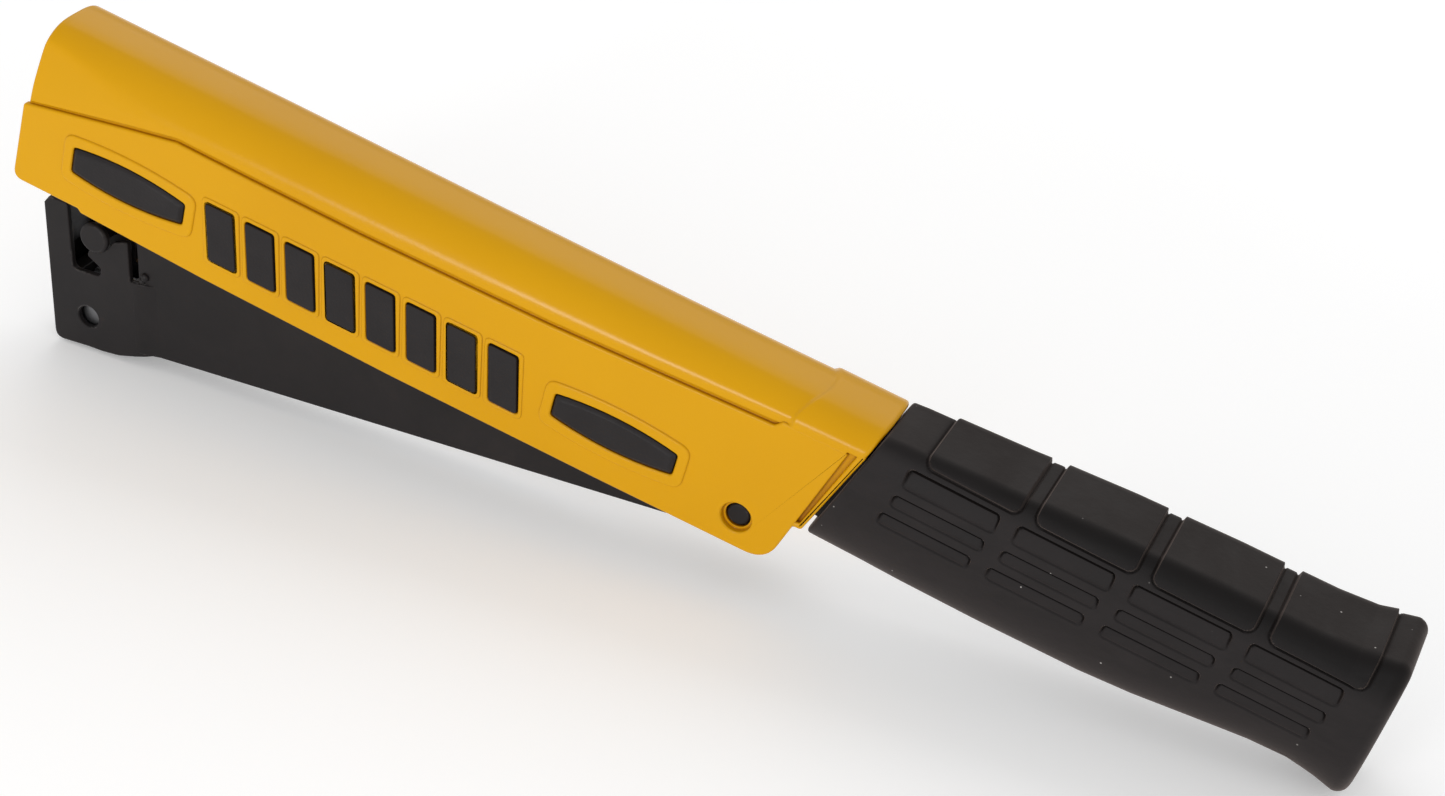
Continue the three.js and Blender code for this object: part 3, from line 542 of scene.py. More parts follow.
def make_black_steel():
    made, tree, shader = material("black_steel", (0.030, 0.025, 0.025), 0.45)
    tone = ramp(tree, noise(tree, 45.0, 6.0, 0.62, 0.4), [
        (0.30, (0.0105, 0.0087, 0.0089, 1)),
        (0.62, (0.0150, 0.0122, 0.0122, 1)),
        (0.80, (0.0215, 0.0168, 0.0156, 1)),
    ])
    rust = ramp(tree, noise(tree, 120.0, 4.0, 0.6), [(0.66, 0.0), (0.80, 0.5)])
    tone = mixed(tree, rust, tone, (0.040, 0.022, 0.017, 1))
    wear = edge_wear(tree)
    tree.links.new(mixed(tree, wear, tone, (0.30, 0.28, 0.27, 1)), shader.inputs["Base Color"])
    tree.links.new(spread(tree, wear, 0.0, 1.0, 0.0, 0.9), shader.inputs["Metallic"])
    set_roughness(tree, shader, noise(tree, 80.0, 5.0, 0.65), 0.36, 0.52)
    shader.inputs["Specular IOR Level"].default_value = 0.2
    bumps(tree, shader, [(noise(tree, 260.0, 4.0), 0.14, 0.0003)], 0.0004)
    return made


def make_metal(name, low, high, roughness):
    made, tree, shader = material(name, high, roughness, 1.0)
    brushed = noise(tree, 420.0, 3.0, 0.6, 0.0, (1.0, 1.0, 14.0))
    tree.links.new(two_tone(tree, 60.0, 4.0, low, high), shader.inputs["Base Color"])
    set_roughness(tree, shader, brushed, roughness - 0.07, roughness + 0.09)
    bumps(tree, shader, [(brushed, 0.12, 0.00012)], 0.0003)
    return made


def make_floor_material():
    made, tree, shader = material("floor", (0.90, 0.90, 0.90), 0.9)
    tone = two_tone(tree, 3.0, 2.0, (0.900, 0.900, 0.900), (0.915, 0.915, 0.915))
    tree.links.new(tone, shader.inputs["Base Color"])
    shader.inputs["Specular IOR Level"].default_value = 0.1
    shader.inputs["Emission Color"].default_value = (1.0, 1.0, 1.0, 1.0)
    shader.inputs["Emission Strength"].default_value = 0.22
    return made


YELLOW = make_yellow()
RUBBER = make_rubber()
BLACK_PLASTIC = make_black_plastic()
BLACK_STEEL = make_black_steel()
ZINC = make_metal("zinc_steel", (0.40, 0.40, 0.39), (0.56, 0.56, 0.55), 0.34)
HARD_STEEL = make_metal("hard_steel", (0.30, 0.30, 0.31), (0.46, 0.46, 0.46), 0.30)
BRASS = make_metal("brass_wire", (0.42, 0.24, 0.10), (0.62, 0.40, 0.20), 0.30)
OILED_STEEL = make_metal("oiled_steel", (0.030, 0.030, 0.032), (0.050, 0.050, 0.052), 0.42)
# Painted shade: the staple wire is made far darker than bright galvanised wire, so the nose hole reads dark.
SHADE_DARKENED_WIRE = make_metal("staple_wire", (0.15, 0.15, 0.155), (0.22, 0.22, 0.225), 0.38)


# ------------------------------------------------------------------ cover
def side_half(x):
    return SIDE_AT_PIVOT + SIDE_TAPER * x


def front_line(z):
    return COVER_FRONT - FRONT_LEAN * (z - COVER_FRONT_BOTTOM)


def panel_rear(z):
    return -11.9 - 0.254 * z


def rim_rear(z):
    return -13.55 - 0.321 * z


def bead_front(z):
    """Front edge of the bead, half way from the rim to the panel's rear edge."""
    return (rim_rear(z) + panel_rear(z)) / 2


def grip_front(z):
    return -15.2 - 0.284 * z


def lower_edge(rear_x, rear_radius, lift):
    z = COVER_BOTTOM + lift
    return [(rear_x, z, rear_radius), (35, z - 0.6, 60), (92, z - 0.95, 60), (145, z - 0.3, 60),
            (181, z + 0.9, 0.6), (182, COVER_FRONT_BOTTOM + lift, 0.6)]


def crown_rise(across):
    return 1 - np.abs(across) ** CROWN_POWER


def pressed(points, depth, softness):
    """Planes off the cover's upper front corners, moving points sideways only."""
    a, b, c = (np.array(p) for p in FACET)
    normal = np.cross(b - a, c - a)
    normal /= np.linalg.norm(normal)
    if normal[1] < 0:
        normal = -normal
    out = points.copy()
    side = np.where(points[..., 1] >= 0, 1.0, -1.0)
    p = points * np.stack([np.ones_like(side), side, np.ones_like(side)], axis=-1)
    d = (p - a) @ normal + depth
    push = softness * np.log1p(np.exp(np.clip(d / softness, -30, 30)))
    push = np.where(d / softness > 29, d, push)
    out[..., 1] = side * np.maximum(0.0, p[..., 1] - push / normal[1])
    return out


def cover_line(kind, v, side, x):
    """Points at x on one of the cover's lengthwise lines: up its side, round the bend, over the crown."""
    half = side_half(x) - PANEL_RISE
    edge = between(x, CREASE)
    below = edge - CREASE_ROUND
    if kind == "side":
        return np.stack([x, side * half, COVER_LOW + (below - COVER_LOW) * v], axis=-1)
    across = math.cos(turned(kind, v))
    y = across * half
    z = edge + float(crown_rise(across)) * (CROWN_TOP - edge)
    if kind == "bend":
        y = half * (1 - v * v) + y * v * v
        z = below * (1 - v) ** 2 + edge * 2 * v * (1 - v) + z * v * v
    return np.stack([x, side * y, z], axis=-1)


def turned(kind, v):
    """How far round the crown a line lies."""
    return {"side": 0.0, "bend": CROWN_START, "crown": v}[kind]


def cover_row(kind, v, side):
    """One lengthwise line of the cover, with its rounded rim and the collar at its rear."""
    turn = np.linspace(0, math.pi / 2, 6)
    boundary = -8.6 + 4.6 * (math.cos(turned(kind, v)) * 13.0 / 14.0) ** 2
    front = front_line(cover_line(kind, v, side, np.array([COVER_FRONT]))[0, 2]) - FRONT_ROUND
    rear = rim_rear(cover_line(kind, v, side, np.array([-20.0]))[0, 2])
    xs = np.concatenate([rear + RIM_ROUND * (1 - np.sin(turn[::-1])),
                         np.linspace(rear + RIM_ROUND, boundary - 0.9, 6)[1:-1],
                         boundary + np.linspace(-0.9, 0.9, 9),
                         np.linspace(boundary + 0.9, front, 76)[1:]])
    row = cover_line(kind, v, side, xs)
    rear_drop = np.zeros(len(xs))
    rear_drop[:6] = RIM_ROUND * (1 - np.cos(turn[::-1]))
    collar = COLLAR_RISE * (1 - ease((xs - boundary + 0.7) / 1.4))
    if kind == "side":
        collar = collar * ease((row[:, 2] - 27.0) / 2.0)
        drop = rear_drop * ease((row[:, 2] - 26.0) / 6.0)
        row[:, 1] += side * (collar - drop)
    else:
        lean = v if kind == "crown" else CROWN_START * v
        up = float(ease(np.array(math.sin(lean)) * 1.3))
        row[:, 1] += side * (collar - rear_drop) * math.cos(lean)
        row[:, 2] += collar * up - rear_drop * math.sin(lean)
    return row


def cover_body():
    """The cover's outer form without its side panels, still solid."""
    kinds = [("side", v, 1.0) for v in np.linspace(0, 1, 22)]
    kinds += [("bend", v, 1.0) for v in np.linspace(0, 1, 9)[1:-1]]
    kinds += [("crown", v, 1.0) for v in np.linspace(CROWN_START, math.pi / 2, 44)]
    kinds += [(kind, v, -1.0) for kind, v, _ in kinds[::-1][1:]]
    grid = np.stack([cover_row(*line) for line in kinds], axis=1)
    last = grid[-1]
    tangent = np.gradient(last[:, 1:], axis=0)
    tangent /= np.linalg.norm(tangent, axis=1)[:, None]
    inward = np.stack([-tangent[:, 1], tangent[:, 0]], axis=1)
    rings = list(grid)
    for k in range(1, 7):
        angle = math.pi / 2 * k / 6
        ring = last.copy()
        ring[:, 0] += FRONT_ROUND * math.sin(angle)
        ring[:, 1:] += inward * FRONT_ROUND * (1 - math.cos(angle))
        rings.append(ring)
    return stacked("cover", [pressed(ring, 0.0, 0.22) for ring in rings])


def cover_room():
    """The space inside the cover."""
    low = -30.0
    xs = np.linspace(-50, 0, 10).tolist() + np.linspace(5, 198, 45).tolist()
    t = np.linspace(0, 1, 12)
    u = np.linspace(0, math.pi / 2, 25)[1:]
    out = []
    for k, x in enumerate(xs):
        half = side_half(x) - PANEL_RISE - WALL
        edge = between(x, CREASE) - 1.6
        top = CROWN_TOP - 1.7
        right = [(half, low + (edge - low) * v) for v in t]
        right += [(half * math.cos(v), edge + float(crown_rise(math.cos(v))) * (top - edge)) for v in u]
        ring = right + [(-y, z) for y, z in right[::-1][1:]]
        points = np.array([(x, y, z) for y, z in ring])
        if k == len(xs) - 1:
            points[:, 0] = front_line(points[:, 2]) - 1.9
        out.append(pressed(points, 1.6, 0.3))
    return stacked("room", out)


def pad_outline(name, grow, corner):
    x0, x1, rear_half, front_half, centre, bulge = PADS[name]
    start, end = x0 - grow, x1 + grow
    lower, upper = [], []
    steps = 10
    for i in range(steps + 1):
        t = i / steps
        half = rear_half + (front_half - rear_half) * t + bulge * 4 * t * (1 - t) + grow
        x = start + (end - start) * t
        radius = corner if i in (0, steps) else 0
        lower.append((x, centre - half, radius))
        upper.append((x, centre + half, radius))
    return rounded(lower + upper[::-1], 6)


def bar_outline(index, grow, corner):
    x = BAR_FIRST_X + index * BAR_PITCH
    return rounded([
        (x - grow, BAR_BOTTOM - grow, corner),
        (x + BAR_WIDTH + grow, BAR_BOTTOM - grow, corner),
        (x + BAR_WIDTH + BAR_SLANT + grow, BAR_TOP + grow, corner),
        (x + BAR_SLANT - grow, BAR_TOP + grow, corner),
    ], 6)


def cover_outline():
    """The cover from the side, which trims its rear rim and lower edge."""
    return rounded([
        (rim_rear(45) - 0.6, 45),
        (rim_rear(5.4) + 0.15, 5.4, 1.4),
        (rim_rear(4.2) + 2.8, 4.2, 0.8),
        *lower_edge(REAR_CORNER_X + 0.4, 6.5, 0.05),
        (COVER_FRONT, COVER_FRONT_BOTTOM + 0.05, 2.6),
        (COVER_FRONT + 3, 3.0),
        (COVER_FRONT + 3, 45),
    ], 10)


def panel_outline():
    return rounded([
        *lower_edge(REAR_CORNER_X, 7.5, 0),
        (COVER_FRONT + 0.9, COVER_FRONT_BOTTOM, 2.8),
        (front_line(15.8) + 0.9, 15.8, 1.0),
        (172, 22.3, 6),
        (158, 25.3, 6),
        (138, 25.0, 30),
        (107, 24.8, 60),
        (56, 25.7, 60),
        (-1.5, 28.5, 1.5),
        (-3.2, 30.4, 0.8),
        (panel_rear(30.4), 30.4, 0.6),
    ], 10)


def panel_groove():
    """The groove along the panel's top edge, with its bends rounded."""
    line = [(-4.5, PANEL_TOP[0][1]), *PANEL_TOP[1:], (front_line(15.8) + 4, 14.8)]
    corners = []
    for points, lift in ((line, 1.05), (line[::-1], -0.3)):
        corners.append((points[0][0], points[0][1] + lift, 0))
        corners += [(x, z + lift, 6) for x, z in points[1:-1]]
        corners.append((points[-1][0], points[-1][1] + lift, 0))
    return rounded(corners, 8)


def bead_outline():
    return rounded([
        (rim_rear(5.0) - 0.1, 5.0, 1.0),
        (panel_rear(5.0) + 0.8, 5.0),
        (panel_rear(6.4) + 0.8, 6.4),
        (bead_front(6.6) + 0.2, 6.6, 0.5),
        (bead_front(31.6), 31.6, 0.8),
        (rim_rear(31.6) - 0.1, 31.6, 0.6),
    ], 6)


def rear_groove():
    """The groove between the bead and the panel."""
    return rounded([
        (bead_front(6.5) - 0.4, 6.5, 0.3),
        (panel_rear(6.5) + 0.55, 6.5, 0.3),
        (panel_rear(30.9) + 0.5, 30.9, 0.3),
        (bead_front(30.9) - 0.6, 30.9, 0.3),
    ], 4)


def raise_panel(cover, side):
    """Grooves, panel, bead and the rims of pads and bars on one side of the cover."""
    groove_levels = [(-PANEL_RISE - 0.45, -0.3), (-PANEL_RISE, 0.0), (6, 0)]
    combine(cover, plate(panel_groove(), groove_levels, side), "DIFFERENCE")
    combine(cover, plate(rear_groove(), [(-PANEL_RISE - 0.7, 0), (6, 0)], side), "DIFFERENCE")
    combine(cover, plate(panel_outline(), round_edge(-1.6, 0, 0.55), side), "UNION")
    combine(cover, plate(bead_outline(), round_edge(-1.7, -0.05, 0.7, 6), side), "UNION")
    for name in PADS:
        rim = plate(pad_outline(name, 3.1, 3.2), round_edge(-1, BEZEL, BEZEL), side)
        combine(cover, rim, "UNION")
    for i in range(BAR_COUNT):
        rim = plate(bar_outline(i, 1.45, 1.5), round_edge(-1, BAR_BEZEL, BAR_BEZEL), side)
        combine(cover, rim, "UNION")


def open_panel(cover, side):
    """Openings for the pads, the bars and the pivot pin's head on one side of the cover."""
    for name in PADS:
        hole = [(-6, 0), (BEZEL - 0.3, 0), (BEZEL, 0.3), (3, 2.8)]
        combine(cover, plate(pad_outline(name, GAP, 1.0), hole, side), "DIFFERENCE")
    for i in range(BAR_COUNT):
        hole = [(-6, 0), (BAR_BEZEL - 0.25, 0), (BAR_BEZEL, 0.25), (3, 2.95)]
        combine(cover, plate(bar_outline(i, GAP, 1.0), hole, side), "DIFFERENCE")
    bore = countersink(COUNTERBORE, 0, 0, SIDE_AT_PIVOT - 1.4, SIDE_AT_PIVOT + 0.02, side)
    combine(cover, bore, "DIFFERENCE")


def make_cover():
    cover = cover_body()
    combine(cover, plate(cover_outline(), [(-20, 0), (20, 0)]), "INTERSECT")
    for side in (1, -1):
        raise_panel(cover, side)
    combine(cover, cover_room(), "DIFFERENCE")
    for side in (1, -1):
        open_panel(cover, side)
    combine(cover, drilled(PIVOT_HOLE, 0, 0, -20, 20), "DIFFERENCE")
    return finished(cover, "cover_shell", HANDLE_TILT, "handle", YELLOW,
                    ["housing_shell"], 34)


def make_pad(name, side, label):
    """A pad with a rounded top edge and a flange behind the cover's wall."""
    levels = ((FLANGE_IN, 0.0), (0.15, 0.0), (0.4, 0.25), (0.78, 0.8), (0.9, 1.1))
    rings = []
    for y, inset in levels:
        p = pad_outline(name, -inset, 0.9 + inset * 0.4)
        rings.append(np.stack([p[:, 0], np.full(len(p), y), p[:, 1]], axis=1))
    pad = stacked("pad", rings, lambda ring: on_side(ring, side))
    flange = plate(pad_outline(name, 1.4, 1.0), [(FLANGE_IN, 0), (FLANGE_OUT, 0)], side)
    combine(pad, flange, "UNION")
    finished(pad, f"inset_pad_{name}_{label}", HANDLE_TILT, "handle",
             BLACK_PLASTIC, [f"pad_{name}_{label}"], 30)


def make_bars(side, label):
    """The plain slanted bars, on one backing strip."""
    start = BAR_FIRST_X - 2
    end = BAR_FIRST_X + (BAR_COUNT - 1) * BAR_PITCH + BAR_WIDTH + BAR_SLANT + 1.5
    low, high = BAR_BOTTOM - 1.5, BAR_TOP + 1.5
    backing = rounded([(start, low, 1), (end, low, 1), (end, high, 1), (start, high, 1)], 3)
    bars = plate(backing, [(FLANGE_IN, 0), (FLANGE_OUT, 0)], side)
    for i in range(BAR_COUNT):
        levels = [(FLANGE_IN, 0), (0.45, 0), (0.62, -0.07), (0.7, -0.25)]
        combine(bars, plate(bar_outline(i, 0, 0.8), levels, side), "UNION")
    finished(bars, f"emblem_bars_{label}", HANDLE_TILT, "handle",
             BLACK_PLASTIC, [f"emblem_{label}"], 30)


def make_insets():
    for side, label in ((1, "left"), (-1, "right")):
        for name in PADS:
            make_pad(name, side, label)
        make_bars(side, label)


# ------------------------------------------------------------------ rubber grip
def box_distance(x, y, x0, x1, y0, y1, radius):
    """Signed distance to a rounded rectangle, negative inside."""
    px = np.abs(x - (x0 + x1) / 2) - (x1 - x0) / 2 + radius
    py = np.abs(y - (y0 + y1) / 2) - (y1 - y0) / 2 + radius
    outside = np.hypot(np.maximum(px, 0), np.maximum(py, 0))
    return outside + np.minimum(np.maximum(px, py), 0) - radius


def grip_section():
    """Half-width and height factors up one side of the grip: a round underside and a flatter top."""
    corners = rounded([(0, 0), (1, 0, 0.48), (1, 1, 0.5), (0, 1)], 80)
    fullness = np.where(corners[:, 1] < 0.5, 1.72, 0.8)
    return corners[:, 0] ** fullness, corners[:, 1]


def grip_levels():
    """Heights of the rows in the strips' zone, closer together at the edges of strips and pads."""
    levels = list(np.arange(*STRIP_ZONE, 0.45))
    for edge in [PAD_EDGE_Z] + [z for low, high, _ in STRIPS for z in (low, high)]:
        levels += list(edge + np.linspace(-0.45, 0.45, 9))
    levels = np.array(sorted(z for z in levels if STRIP_ZONE[0] <= z <= STRIP_ZONE[1]))
    return levels[np.concatenate([[True], np.diff(levels) > 0.06])]


GRIP_SECTION = grip_section()
GRIP_LEVELS = grip_levels()


def grip_ring(x):
    """One closed ring of the plain grip; its rows keep their heights through the strips' zone."""
    across, up = GRIP_SECTION
    levels = GRIP_LEVELS
    half = between(x, GRIP_HALF)
    low = between(x, GRIP_BOTTOM)
    high = between(x, GRIP_TOP)
    y, z = across * half, low + (high - low) * up
    walk = np.concatenate([[0], np.cumsum(np.hypot(np.diff(y), np.diff(z)))])
    start, end = np.interp(levels[[0, -1]], z, walk)
    marks = np.concatenate([np.linspace(0, start, 46)[:-1], np.interp(levels, z, walk),
                            np.linspace(end, walk[-1], 42)[1:]])
    right = np.stack([np.full(len(marks), float(x)), np.interp(marks, walk, y),
                      np.interp(marks, walk, z)], axis=1)
    left = (right * (1, -1, 1))[::-1][1:-1]
    return np.concatenate([right, left])


def grip_stations():
    """Places along the grip, closer together at the ends of the pads and strips."""
    stations = list(np.arange(GRIP_REAR + 3.0, GRIP_BLEND, 0.55))
    for start, end in GRIP_PADS:
        for edge in [start, end] + [e + shift for e in (start, end) for _, _, shift in STRIPS]:
            stations += list(edge + np.linspace(-0.45, 0.45, 7))
    stations = np.array(sorted(x for x in stations if x < GRIP_BLEND))
    keep = np.concatenate([[True], np.diff(stations) > 0.07])
    return stations[keep]


def grip_relief(x, y, z):
    """How far the skin stands out over the grip's plain form."""
    top = (z > 28).astype(float)
    raised = np.zeros_like(x)
    ridge = np.zeros_like(x)
    sunk = np.zeros_like(x)
    for start, end in GRIP_PADS:
        along = np.abs(x - (start + end) / 2) - (end - start) / 2 + 2.0
        down = PAD_EDGE_Z - z + 2.0
        d = np.hypot(np.maximum(along, 0), np.maximum(down, 0))
        d = d + np.minimum(np.maximum(along, down), 0) - 2.0
        raised = np.maximum(raised, ease(0.5 - d / 0.4) * top)
        ridge = np.maximum(ridge, ease(1 - np.abs(d - 0.42) / 0.42) * top)
        for low, high, shift in STRIPS:
            d = box_distance(x, z, start + shift, end + shift, low, high, 1.4)
            share = np.clip((z - low) / (high - low), 0, 1)
            deep = 0.15 + 0.65 * share ** 1.2
            line = ease(1 - np.abs(d + 0.28) / 0.34) * (0.25 + 0.6 * ease(share * 1.6 - 0.3))
            sunk = np.maximum(sunk, (ease(0.5 - d / 0.3) * deep + 0.75 * line) * (np.abs(y) > 8))
    return 0.85 * raised - 0.4 * ridge * (1 - raised) - sunk


def bare_grip(x):
    """A plain ring and its outward directions; x may be one number or one for each point."""
    ring = grip_ring(np.mean(x))
    ring[:, 0] = x
    tangent = np.roll(ring[:, 1:], -1, axis=0) - np.roll(ring[:, 1:], 1, axis=0)
    tangent /= np.linalg.norm(tangent, axis=1)[:, None]
    return ring, np.stack([tangent[:, 1], -tangent[:, 0]], axis=1)


def grip_skin(x):
    """A ring of the grip with its pads and strips."""
    ring, normal = bare_grip(x)
    ring[:, 1:] += normal * grip_relief(*ring.T)[:, None]
    return ring


def grip_end(x, radius, steps):
    """Rings that round off an end of the grip; a negative radius is for the rear."""
    rings = []
    for k in range(1, steps + 1):
        angle = math.pi / 2 * k / steps
        ring, normal = bare_grip(x)
        ring[:, 0] += radius * math.sin(angle)
        ring[:, 1:] -= normal * abs(radius) * (1 - math.cos(angle))
        rings.append(ring)
    return rings


def butt_hollow(rim):
    """Rings that close the rear end with a shallow dish."""
    middle = np.array([0, rim[:, 2].mean()])
    rings = []
    for scale, depth in BUTT_DISH:
        ring = rim.copy()
        ring[:, 1:] = middle + (ring[:, 1:] - middle) * scale
        ring[:, 0] += depth
        rings.append(ring)
    return rings


def hang_slot():
    """The plain slot in the butt."""
    outline = rounded([(-1.5, 17, 1.4), (1.5, 17, 1.4), (1.5, 25, 1.4), (-1.5, 25, 1.4)], 4)
    rings = []
    for x in (GRIP_REAR - 2, GRIP_REAR + 1.6):
        rings.append(np.stack([np.full(len(outline), x), outline[:, 0], outline[:, 1]], axis=1))
    return stacked("slot", rings)


def make_grip():
    front = grip_front(grip_ring(-20.0)[:, 2]) - GRIP_FRONT_ROUND
    rings = [grip_skin(x) for x in grip_stations()]
    rings += [grip_skin(GRIP_BLEND * (1 - s) + front * s) for s in np.linspace(0, 1, 12)[1:]]
    nose = grip_end(front, GRIP_FRONT_ROUND, 5)
    rear = grip_end(GRIP_REAR + GRIP_REAR_ROUND, -GRIP_REAR_ROUND, 8)[::-1]
    grip = stacked("grip", butt_hollow(rear[0]) + rear + rings + nose)
    pocket = np.array([(-138.4, 8.7), (10, 8.7), (10, 29.3), (-138.4, 29.3)])
    combine(grip, plate(pocket, [(-10.2, 0), (10.2, 0)]), "DIFFERENCE")
    combine(grip, hang_slot(), "DIFFERENCE")
    return finished(grip, "grip_sleeve", HANDLE_TILT, "handle", RUBBER,
                    ["rubber_grip"], 40, False)


# ------------------------------------------------------------------ pressed and turned steel
def softened(node_name, name, body, look, width=0.00025, segments=2):
    """A CAD piece with its edges broken, standing for its node."""
    source = nodes[node_name]
    mesh = source.data.copy()
    piece = bpy.data.objects.new(name, mesh)
    bpy.context.scene.collection.objects.link(piece)
    bm = bmesh.new()
    bm.from_mesh(mesh)
    bmesh.ops.remove_doubles(bm, verts=bm.verts, dist=2e-6)
    bmesh.ops.dissolve_limit(bm, angle_limit=math.radians(0.6), verts=bm.verts, edges=bm.edges)
    bm.to_mesh(mesh)
    bm.free()
    bevel = piece.modifiers.new("edges", "BEVEL")
    bevel.width = width
    bevel.segments = segments
    bevel.limit_method = "ANGLE"
    bevel.angle_limit = math.radians(35)
    bevel.use_clamp_overlap = True
    baked(piece)
    return finished(piece, name, None, body, look, [node_name], 40)


def spot(point, tilt):
    """A point of the handle's or magazine's frame, in the row frame."""
    return [float(value) for value in placed(np.array([point], float), tilt)[0]]


def coil(name, start, end, radius, wire, turns, tilt, look, stands_for, per_turn=24):
    """A wire coil with closed end turns, not yet on a body."""
    start, end = np.array(start, float), np.array(end, float)
    length = np.linalg.norm(end - start)
    u = np.array([0, 1.0, 0])
    v = np.cross((end - start) / length, u)
    t = np.linspace(0, 1, int(turns * per_turn) + 1)
    closed = 2.1 * wire / length
    along = np.interp(t, [0, 1 / turns, 1 - 1 / turns, 1], [0, closed, 1 - closed, 1])
    angle = t * turns * 2 * math.pi
    out = np.cos(angle)[:, None] * u + np.sin(angle)[:, None] * v
    path = start + along[:, None] * (end - start) + radius * out
    tangent = np.gradient(path, axis=0)
    tangent /= np.linalg.norm(tangent, axis=1)[:, None]
    out -= np.sum(out * tangent, axis=1)[:, None] * tangent
    out /= np.linalg.norm(out, axis=1)[:, None]
    side = np.cross(tangent, out)
    around = np.linspace(0, 2 * math.pi, 8, endpoint=False)
    rings = []
    for k in range(len(path)):
        rings.append(path[k] + wire * (np.outer(np.cos(around), out[k]) + np.outer(np.sin(around), side[k])))
    return finished(stacked(name, rings), name, tilt, None, look, stands_for, 60, False)


def make_return_coil():
    """Between the magazine below and the handle above; baked in place and on no body."""
    bottom, top = (100.3, 0, -8.0), (100.3, 0, 26.0)
    spring = coil("return_coil", bottom, top, 4.0, 0.7, 8, HANDLE_TILT, HARD_STEEL, ["return_spring"])
    spot(bottom, HANDLE_TILT)
    spot(top, HANDLE_TILT)
    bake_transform(spring)


def make_pusher_coil():
    """Round the guide rod, riding with the magazine."""
    rear, front = (27.0, 0, 6.2), (126.6, 0, 6.2)
    spring = coil("pusher_coil", rear, front, 2.9, 0.4, 30, MAGAZINE_TILT, HARD_STEEL,
                  ["pusher_spring"], 18)
    anchor = spot(rear, MAGAZINE_TILT)
    along = [b - a for a, b in zip(anchor, spot(front, MAGAZINE_TILT))]
    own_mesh(spring)
    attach(spring, "magazine")


def make_latch_coil():
    """Between the magazine behind and the latch in front; baked in place and on no body."""
    held, pulled = (167.3, 0, 15.0), (171.9, 0, 15.0)
    spring = coil("latch_coil", held, pulled, 1.9, 0.35, 4, MAGAZINE_TILT, BRASS, ["latch_spring"])
    spot(held, MAGAZINE_TILT)
    spot(pulled, MAGAZINE_TILT)
    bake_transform(spring)


def nose_outline():
    """The nose box from the side, with the J-shaped slot cut into its rear and top."""
    return rounded([
        (163.0, -9.03),
        (165.0, -9.05, 2),
        (170.0, -10.5, 4),
        (175.5, -11.75, 6),
        (180.5, -11.95, 4),
        (184.8, -11.7, 0.2),
        (185.0, -11.7),
        (195.0, -11.7, 2.6),
        (195.0, 27.6, 0.4),
        (193.4, 29.5, 0.4),
        (187.8, 29.0, 1.4),
        (187.8, 10.4, 2.0),
        (179.4, 10.4, 1.2),
        (179.2, 12.9, 1.0),
        (183.0, 15.6, 0.8),
        (182.2, 17.4, 0.6),
        (177.4, 18.3, 0.8),
        (174.6, 21.4, 0.8),
        (170.3, 22.7, 0.9),
        (170.3, 11.4, 0.3),
        (163.0, 11.4),
    ], 6)


def nose_flare(side):
    """What is cut away outside the nose box's soft step down to the channel."""
    flare = [(162.0, 6.55), (163.6, 6.66), (165.4, 6.90), (167.4, 7.3), (169.2, 7.48), (170.6, 7.52),
             (170.6, 9.0), (162.0, 9.0)]
    return stacked("flare", [[(x, side * y, z) for x, y in flare] for z in (-20.0, 11.45)])


def make_nose():
    """The nose box, flared back over the channel's end."""
    nose = plate(nose_outline(), slab_levels(NOSE_OUT, 0.35, 4))
    for side in (1, -1):
        combine(nose, nose_flare(side), "DIFFERENCE")
    room = np.array([(160, -30), (193.5, -30), (193.5, 60), (160, 60)])
    combine(nose, plate(room, [(-6.0, 0), (6.0, 0)]), "DIFFERENCE")
    combine(nose, drilled(*NOSE_HOLE, -20, 20), "DIFFERENCE")
    for side in (1, -1):
        combine(nose, countersink(*NOSE_HOLE, 6.5, NOSE_OUT + 0.01, side), "DIFFERENCE")
    return finished(nose, "nose_box", MAGAZINE_TILT, "magazine", BLACK_STEEL,
                    ["nose_housing"], 40)


def make_heel():
    outline = rounded([
        (166.0, -9.04),
        (170.0, -10.3, 4),
        (175.5, -11.55, 6),
        (180.5, -11.75, 4),
        (HEEL_FRONT, -11.45, 0.4),
        (HEEL_FRONT, -9.04),
    ], 8)
    heel = plate(outline, slab_levels(HEEL_HALF, 0.3, 5))
    return finished(heel, "heel_shoe", MAGAZINE_TILT, "magazine", BLACK_STEEL,
                    ["nose_heel"], 40)


def make_welds():
    """Beads where the nose box is welded to the channel, three on each side."""
    generator = np.random.default_rng(7)
    beads = ((166.2, 13.4, 1.15), (168.6, 10.9, 0.95), (167.3, 12.2, 0.8))
    for side, label in ((1, "left"), (-1, "right")):
        for number, (x, z, radius) in enumerate(beads):
            bm = bmesh.new()
            bmesh.ops.create_icosphere(bm, subdivisions=3, radius=radius)
            lump = generator.uniform(-1, 1, (3, 3))
            for vertex in bm.verts:
                wave = sum(math.sin(2.2 * vertex.co.dot(Vector(row)) / radius) for row in lump)
                vertex.co *= 1 + 0.07 * wave
                vertex.co.y *= 0.75
                vertex.co += Vector((x, side * 6.75, z))
            mesh = bpy.data.meshes.new("weld")
            bm.to_mesh(mesh)
            bm.free()
            weld = bpy.data.objects.new("weld", mesh)
            bpy.context.scene.collection.objects.link(weld)
            finished(weld, f"weld_{label}_{number}", MAGAZINE_TILT, "magazine",
                     BLACK_STEEL, (), 60, False)


make_cover()
make_insets()
make_grip()

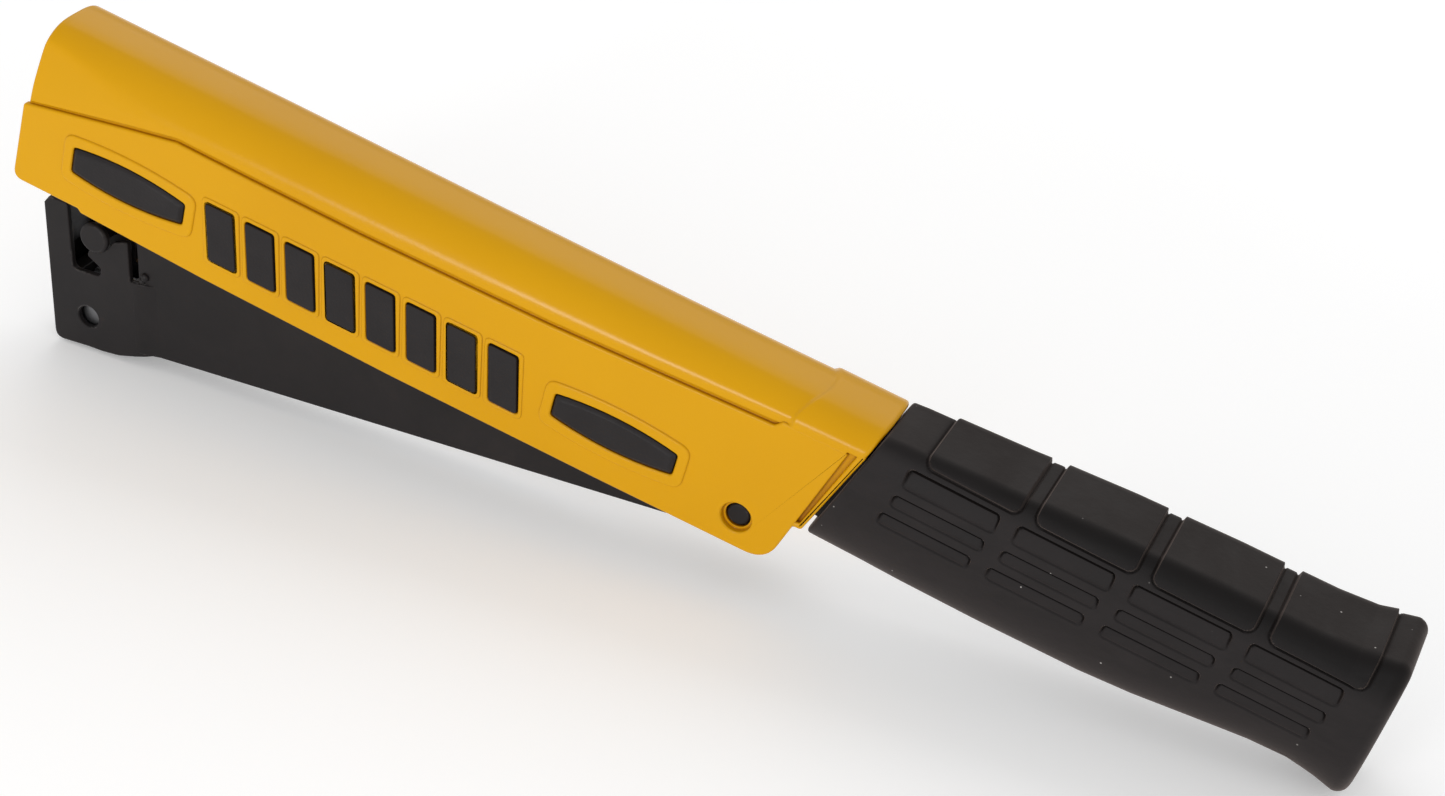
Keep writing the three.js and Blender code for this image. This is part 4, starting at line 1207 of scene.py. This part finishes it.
softened("magazine_channel", "channel_sheet", "magazine", BLACK_STEEL, 0.00012)
make_nose()
make_heel()
make_welds()
softened("latch_plate", "latch_hook", "latch", BLACK_STEEL)
softened("latch_pin", "latch_button", "latch", BLACK_STEEL, 0.0002)
softened("pivot_pin", "pivot_rivet", "handle", BLACK_STEEL, 0.0002)
softened("handle_frame", "frame_sheet", "handle", BLACK_STEEL)
softened("driver_block", "driver_holder", "handle", BLACK_STEEL)
softened("driver_blade", "driver_strip", "handle", OILED_STEEL, 0.0001)
softened("stop_bar", "stop_rod", "handle", BLACK_STEEL)
softened("bumper", "bumper_block", "handle", RUBBER, 0.0006, segments=3)
softened("front_guide", "guide_block", "magazine", BLACK_STEEL)
softened("staple_rail", "rail_sheet", "magazine", ZINC, 0.0002)
softened("guide_rod", "rod_bar", "magazine", HARD_STEEL, 0.0001)
softened("rod_end_bracket", "rod_bracket", "magazine", ZINC, 0.0002)
softened("spring_seat", "seat_sheet", "magazine", BLACK_STEEL, 0.0002)
softened("spring_anchor", "anchor_strap", "magazine", BLACK_STEEL, 0.0002)
softened("pusher", "pusher_block", "pusher", ZINC, 0.0002)
for label in ("left", "right"):
    softened(f"pivot_spacer_{label}", f"pivot_washer_{label}", "handle", ZINC, 0.0001)
    softened(f"blade_screw_{label}", f"blade_bolt_{label}", "handle", ZINC, 0.0002)
    softened(f"block_screw_{label}", f"block_bolt_{label}", "handle", ZINC, 0.0002)
softened("staple_stick", "staple_strip", "magazine", SHADE_DARKENED_WIRE, 0.0001)

make_return_coil()
make_pusher_coil()
make_latch_coil()


# ------------------------------------------------------------------ floor, light, camera
def make_floor():
    size = 4.0
    steps = 24
    line = np.linspace(-size, size, steps + 1)
    points = [(x, y, cad_low.z - 0.0002) for x in line for y in line]
    faces = []
    for i in range(steps):
        for j in range(steps):
            a = i * (steps + 1) + j
            faces.append((a, a + steps + 1, a + steps + 2, a + 1))
    floor = new_object("floor", points, faces)
    floor.data.materials.append(make_floor_material())


def area_light(name, place, target, size, power):
    data = bpy.data.lights.new(name, "AREA")
    data.shape = "RECTANGLE"
    data.size, data.size_y = size
    data.energy = power
    lamp = bpy.data.objects.new(name, data)
    bpy.context.scene.collection.objects.link(lamp)
    lamp.location = place
    lamp.rotation_euler = (Vector(target) - Vector(place)).to_track_quat("-Z", "Y").to_euler()


make_floor()
world = bpy.data.worlds.new("studio")
bpy.context.scene.world = world
world.use_nodes = True
world.node_tree.nodes["Background"].inputs["Color"].default_value = (1.0, 1.0, 1.0, 1.0)
world.node_tree.nodes["Background"].inputs["Strength"].default_value = 0.62
area_light("key", (0.27, 1.25, 0.27), (0, 0, 0.05), (0.36, 0.22), 5.2)
area_light("fill", (-0.9, 0.8, 0.45), (0, 0, 0.04), (0.9, 0.9), 1.5)
area_light("rim", (0.1, -0.8, 0.9), (0, 0, 0.04), (1.4, 0.8), 4.0)

CAMERA_AT = Vector((-0.18958, 0.47346, 0.36954))
CAMERA_TARGET = Vector((-0.01125, 0.00133, 0.04505))
CAMERA_ROLL = math.radians(7.1115)


def make_camera():
    """The camera, from its place, the point that it looks at and its roll."""
    data = bpy.data.cameras.new("camera")
    data.sensor_width = 36.0
    data.lens = 64.775
    data.clip_start, data.clip_end = 0.01, 50.0
    camera = bpy.data.objects.new("camera", data)
    bpy.context.scene.collection.objects.link(camera)
    aim = (CAMERA_TARGET - CAMERA_AT).to_track_quat("-Z", "Y").to_matrix()
    basis = (aim @ Matrix.Rotation(CAMERA_ROLL, 3, "Z")).to_4x4()
    basis.translation = CAMERA_AT
    camera.matrix_world = basis
    bpy.context.scene.camera = camera


make_camera()
bpy.context.scene.view_settings.view_transform = "Standard"
bpy.context.view_layer.update()
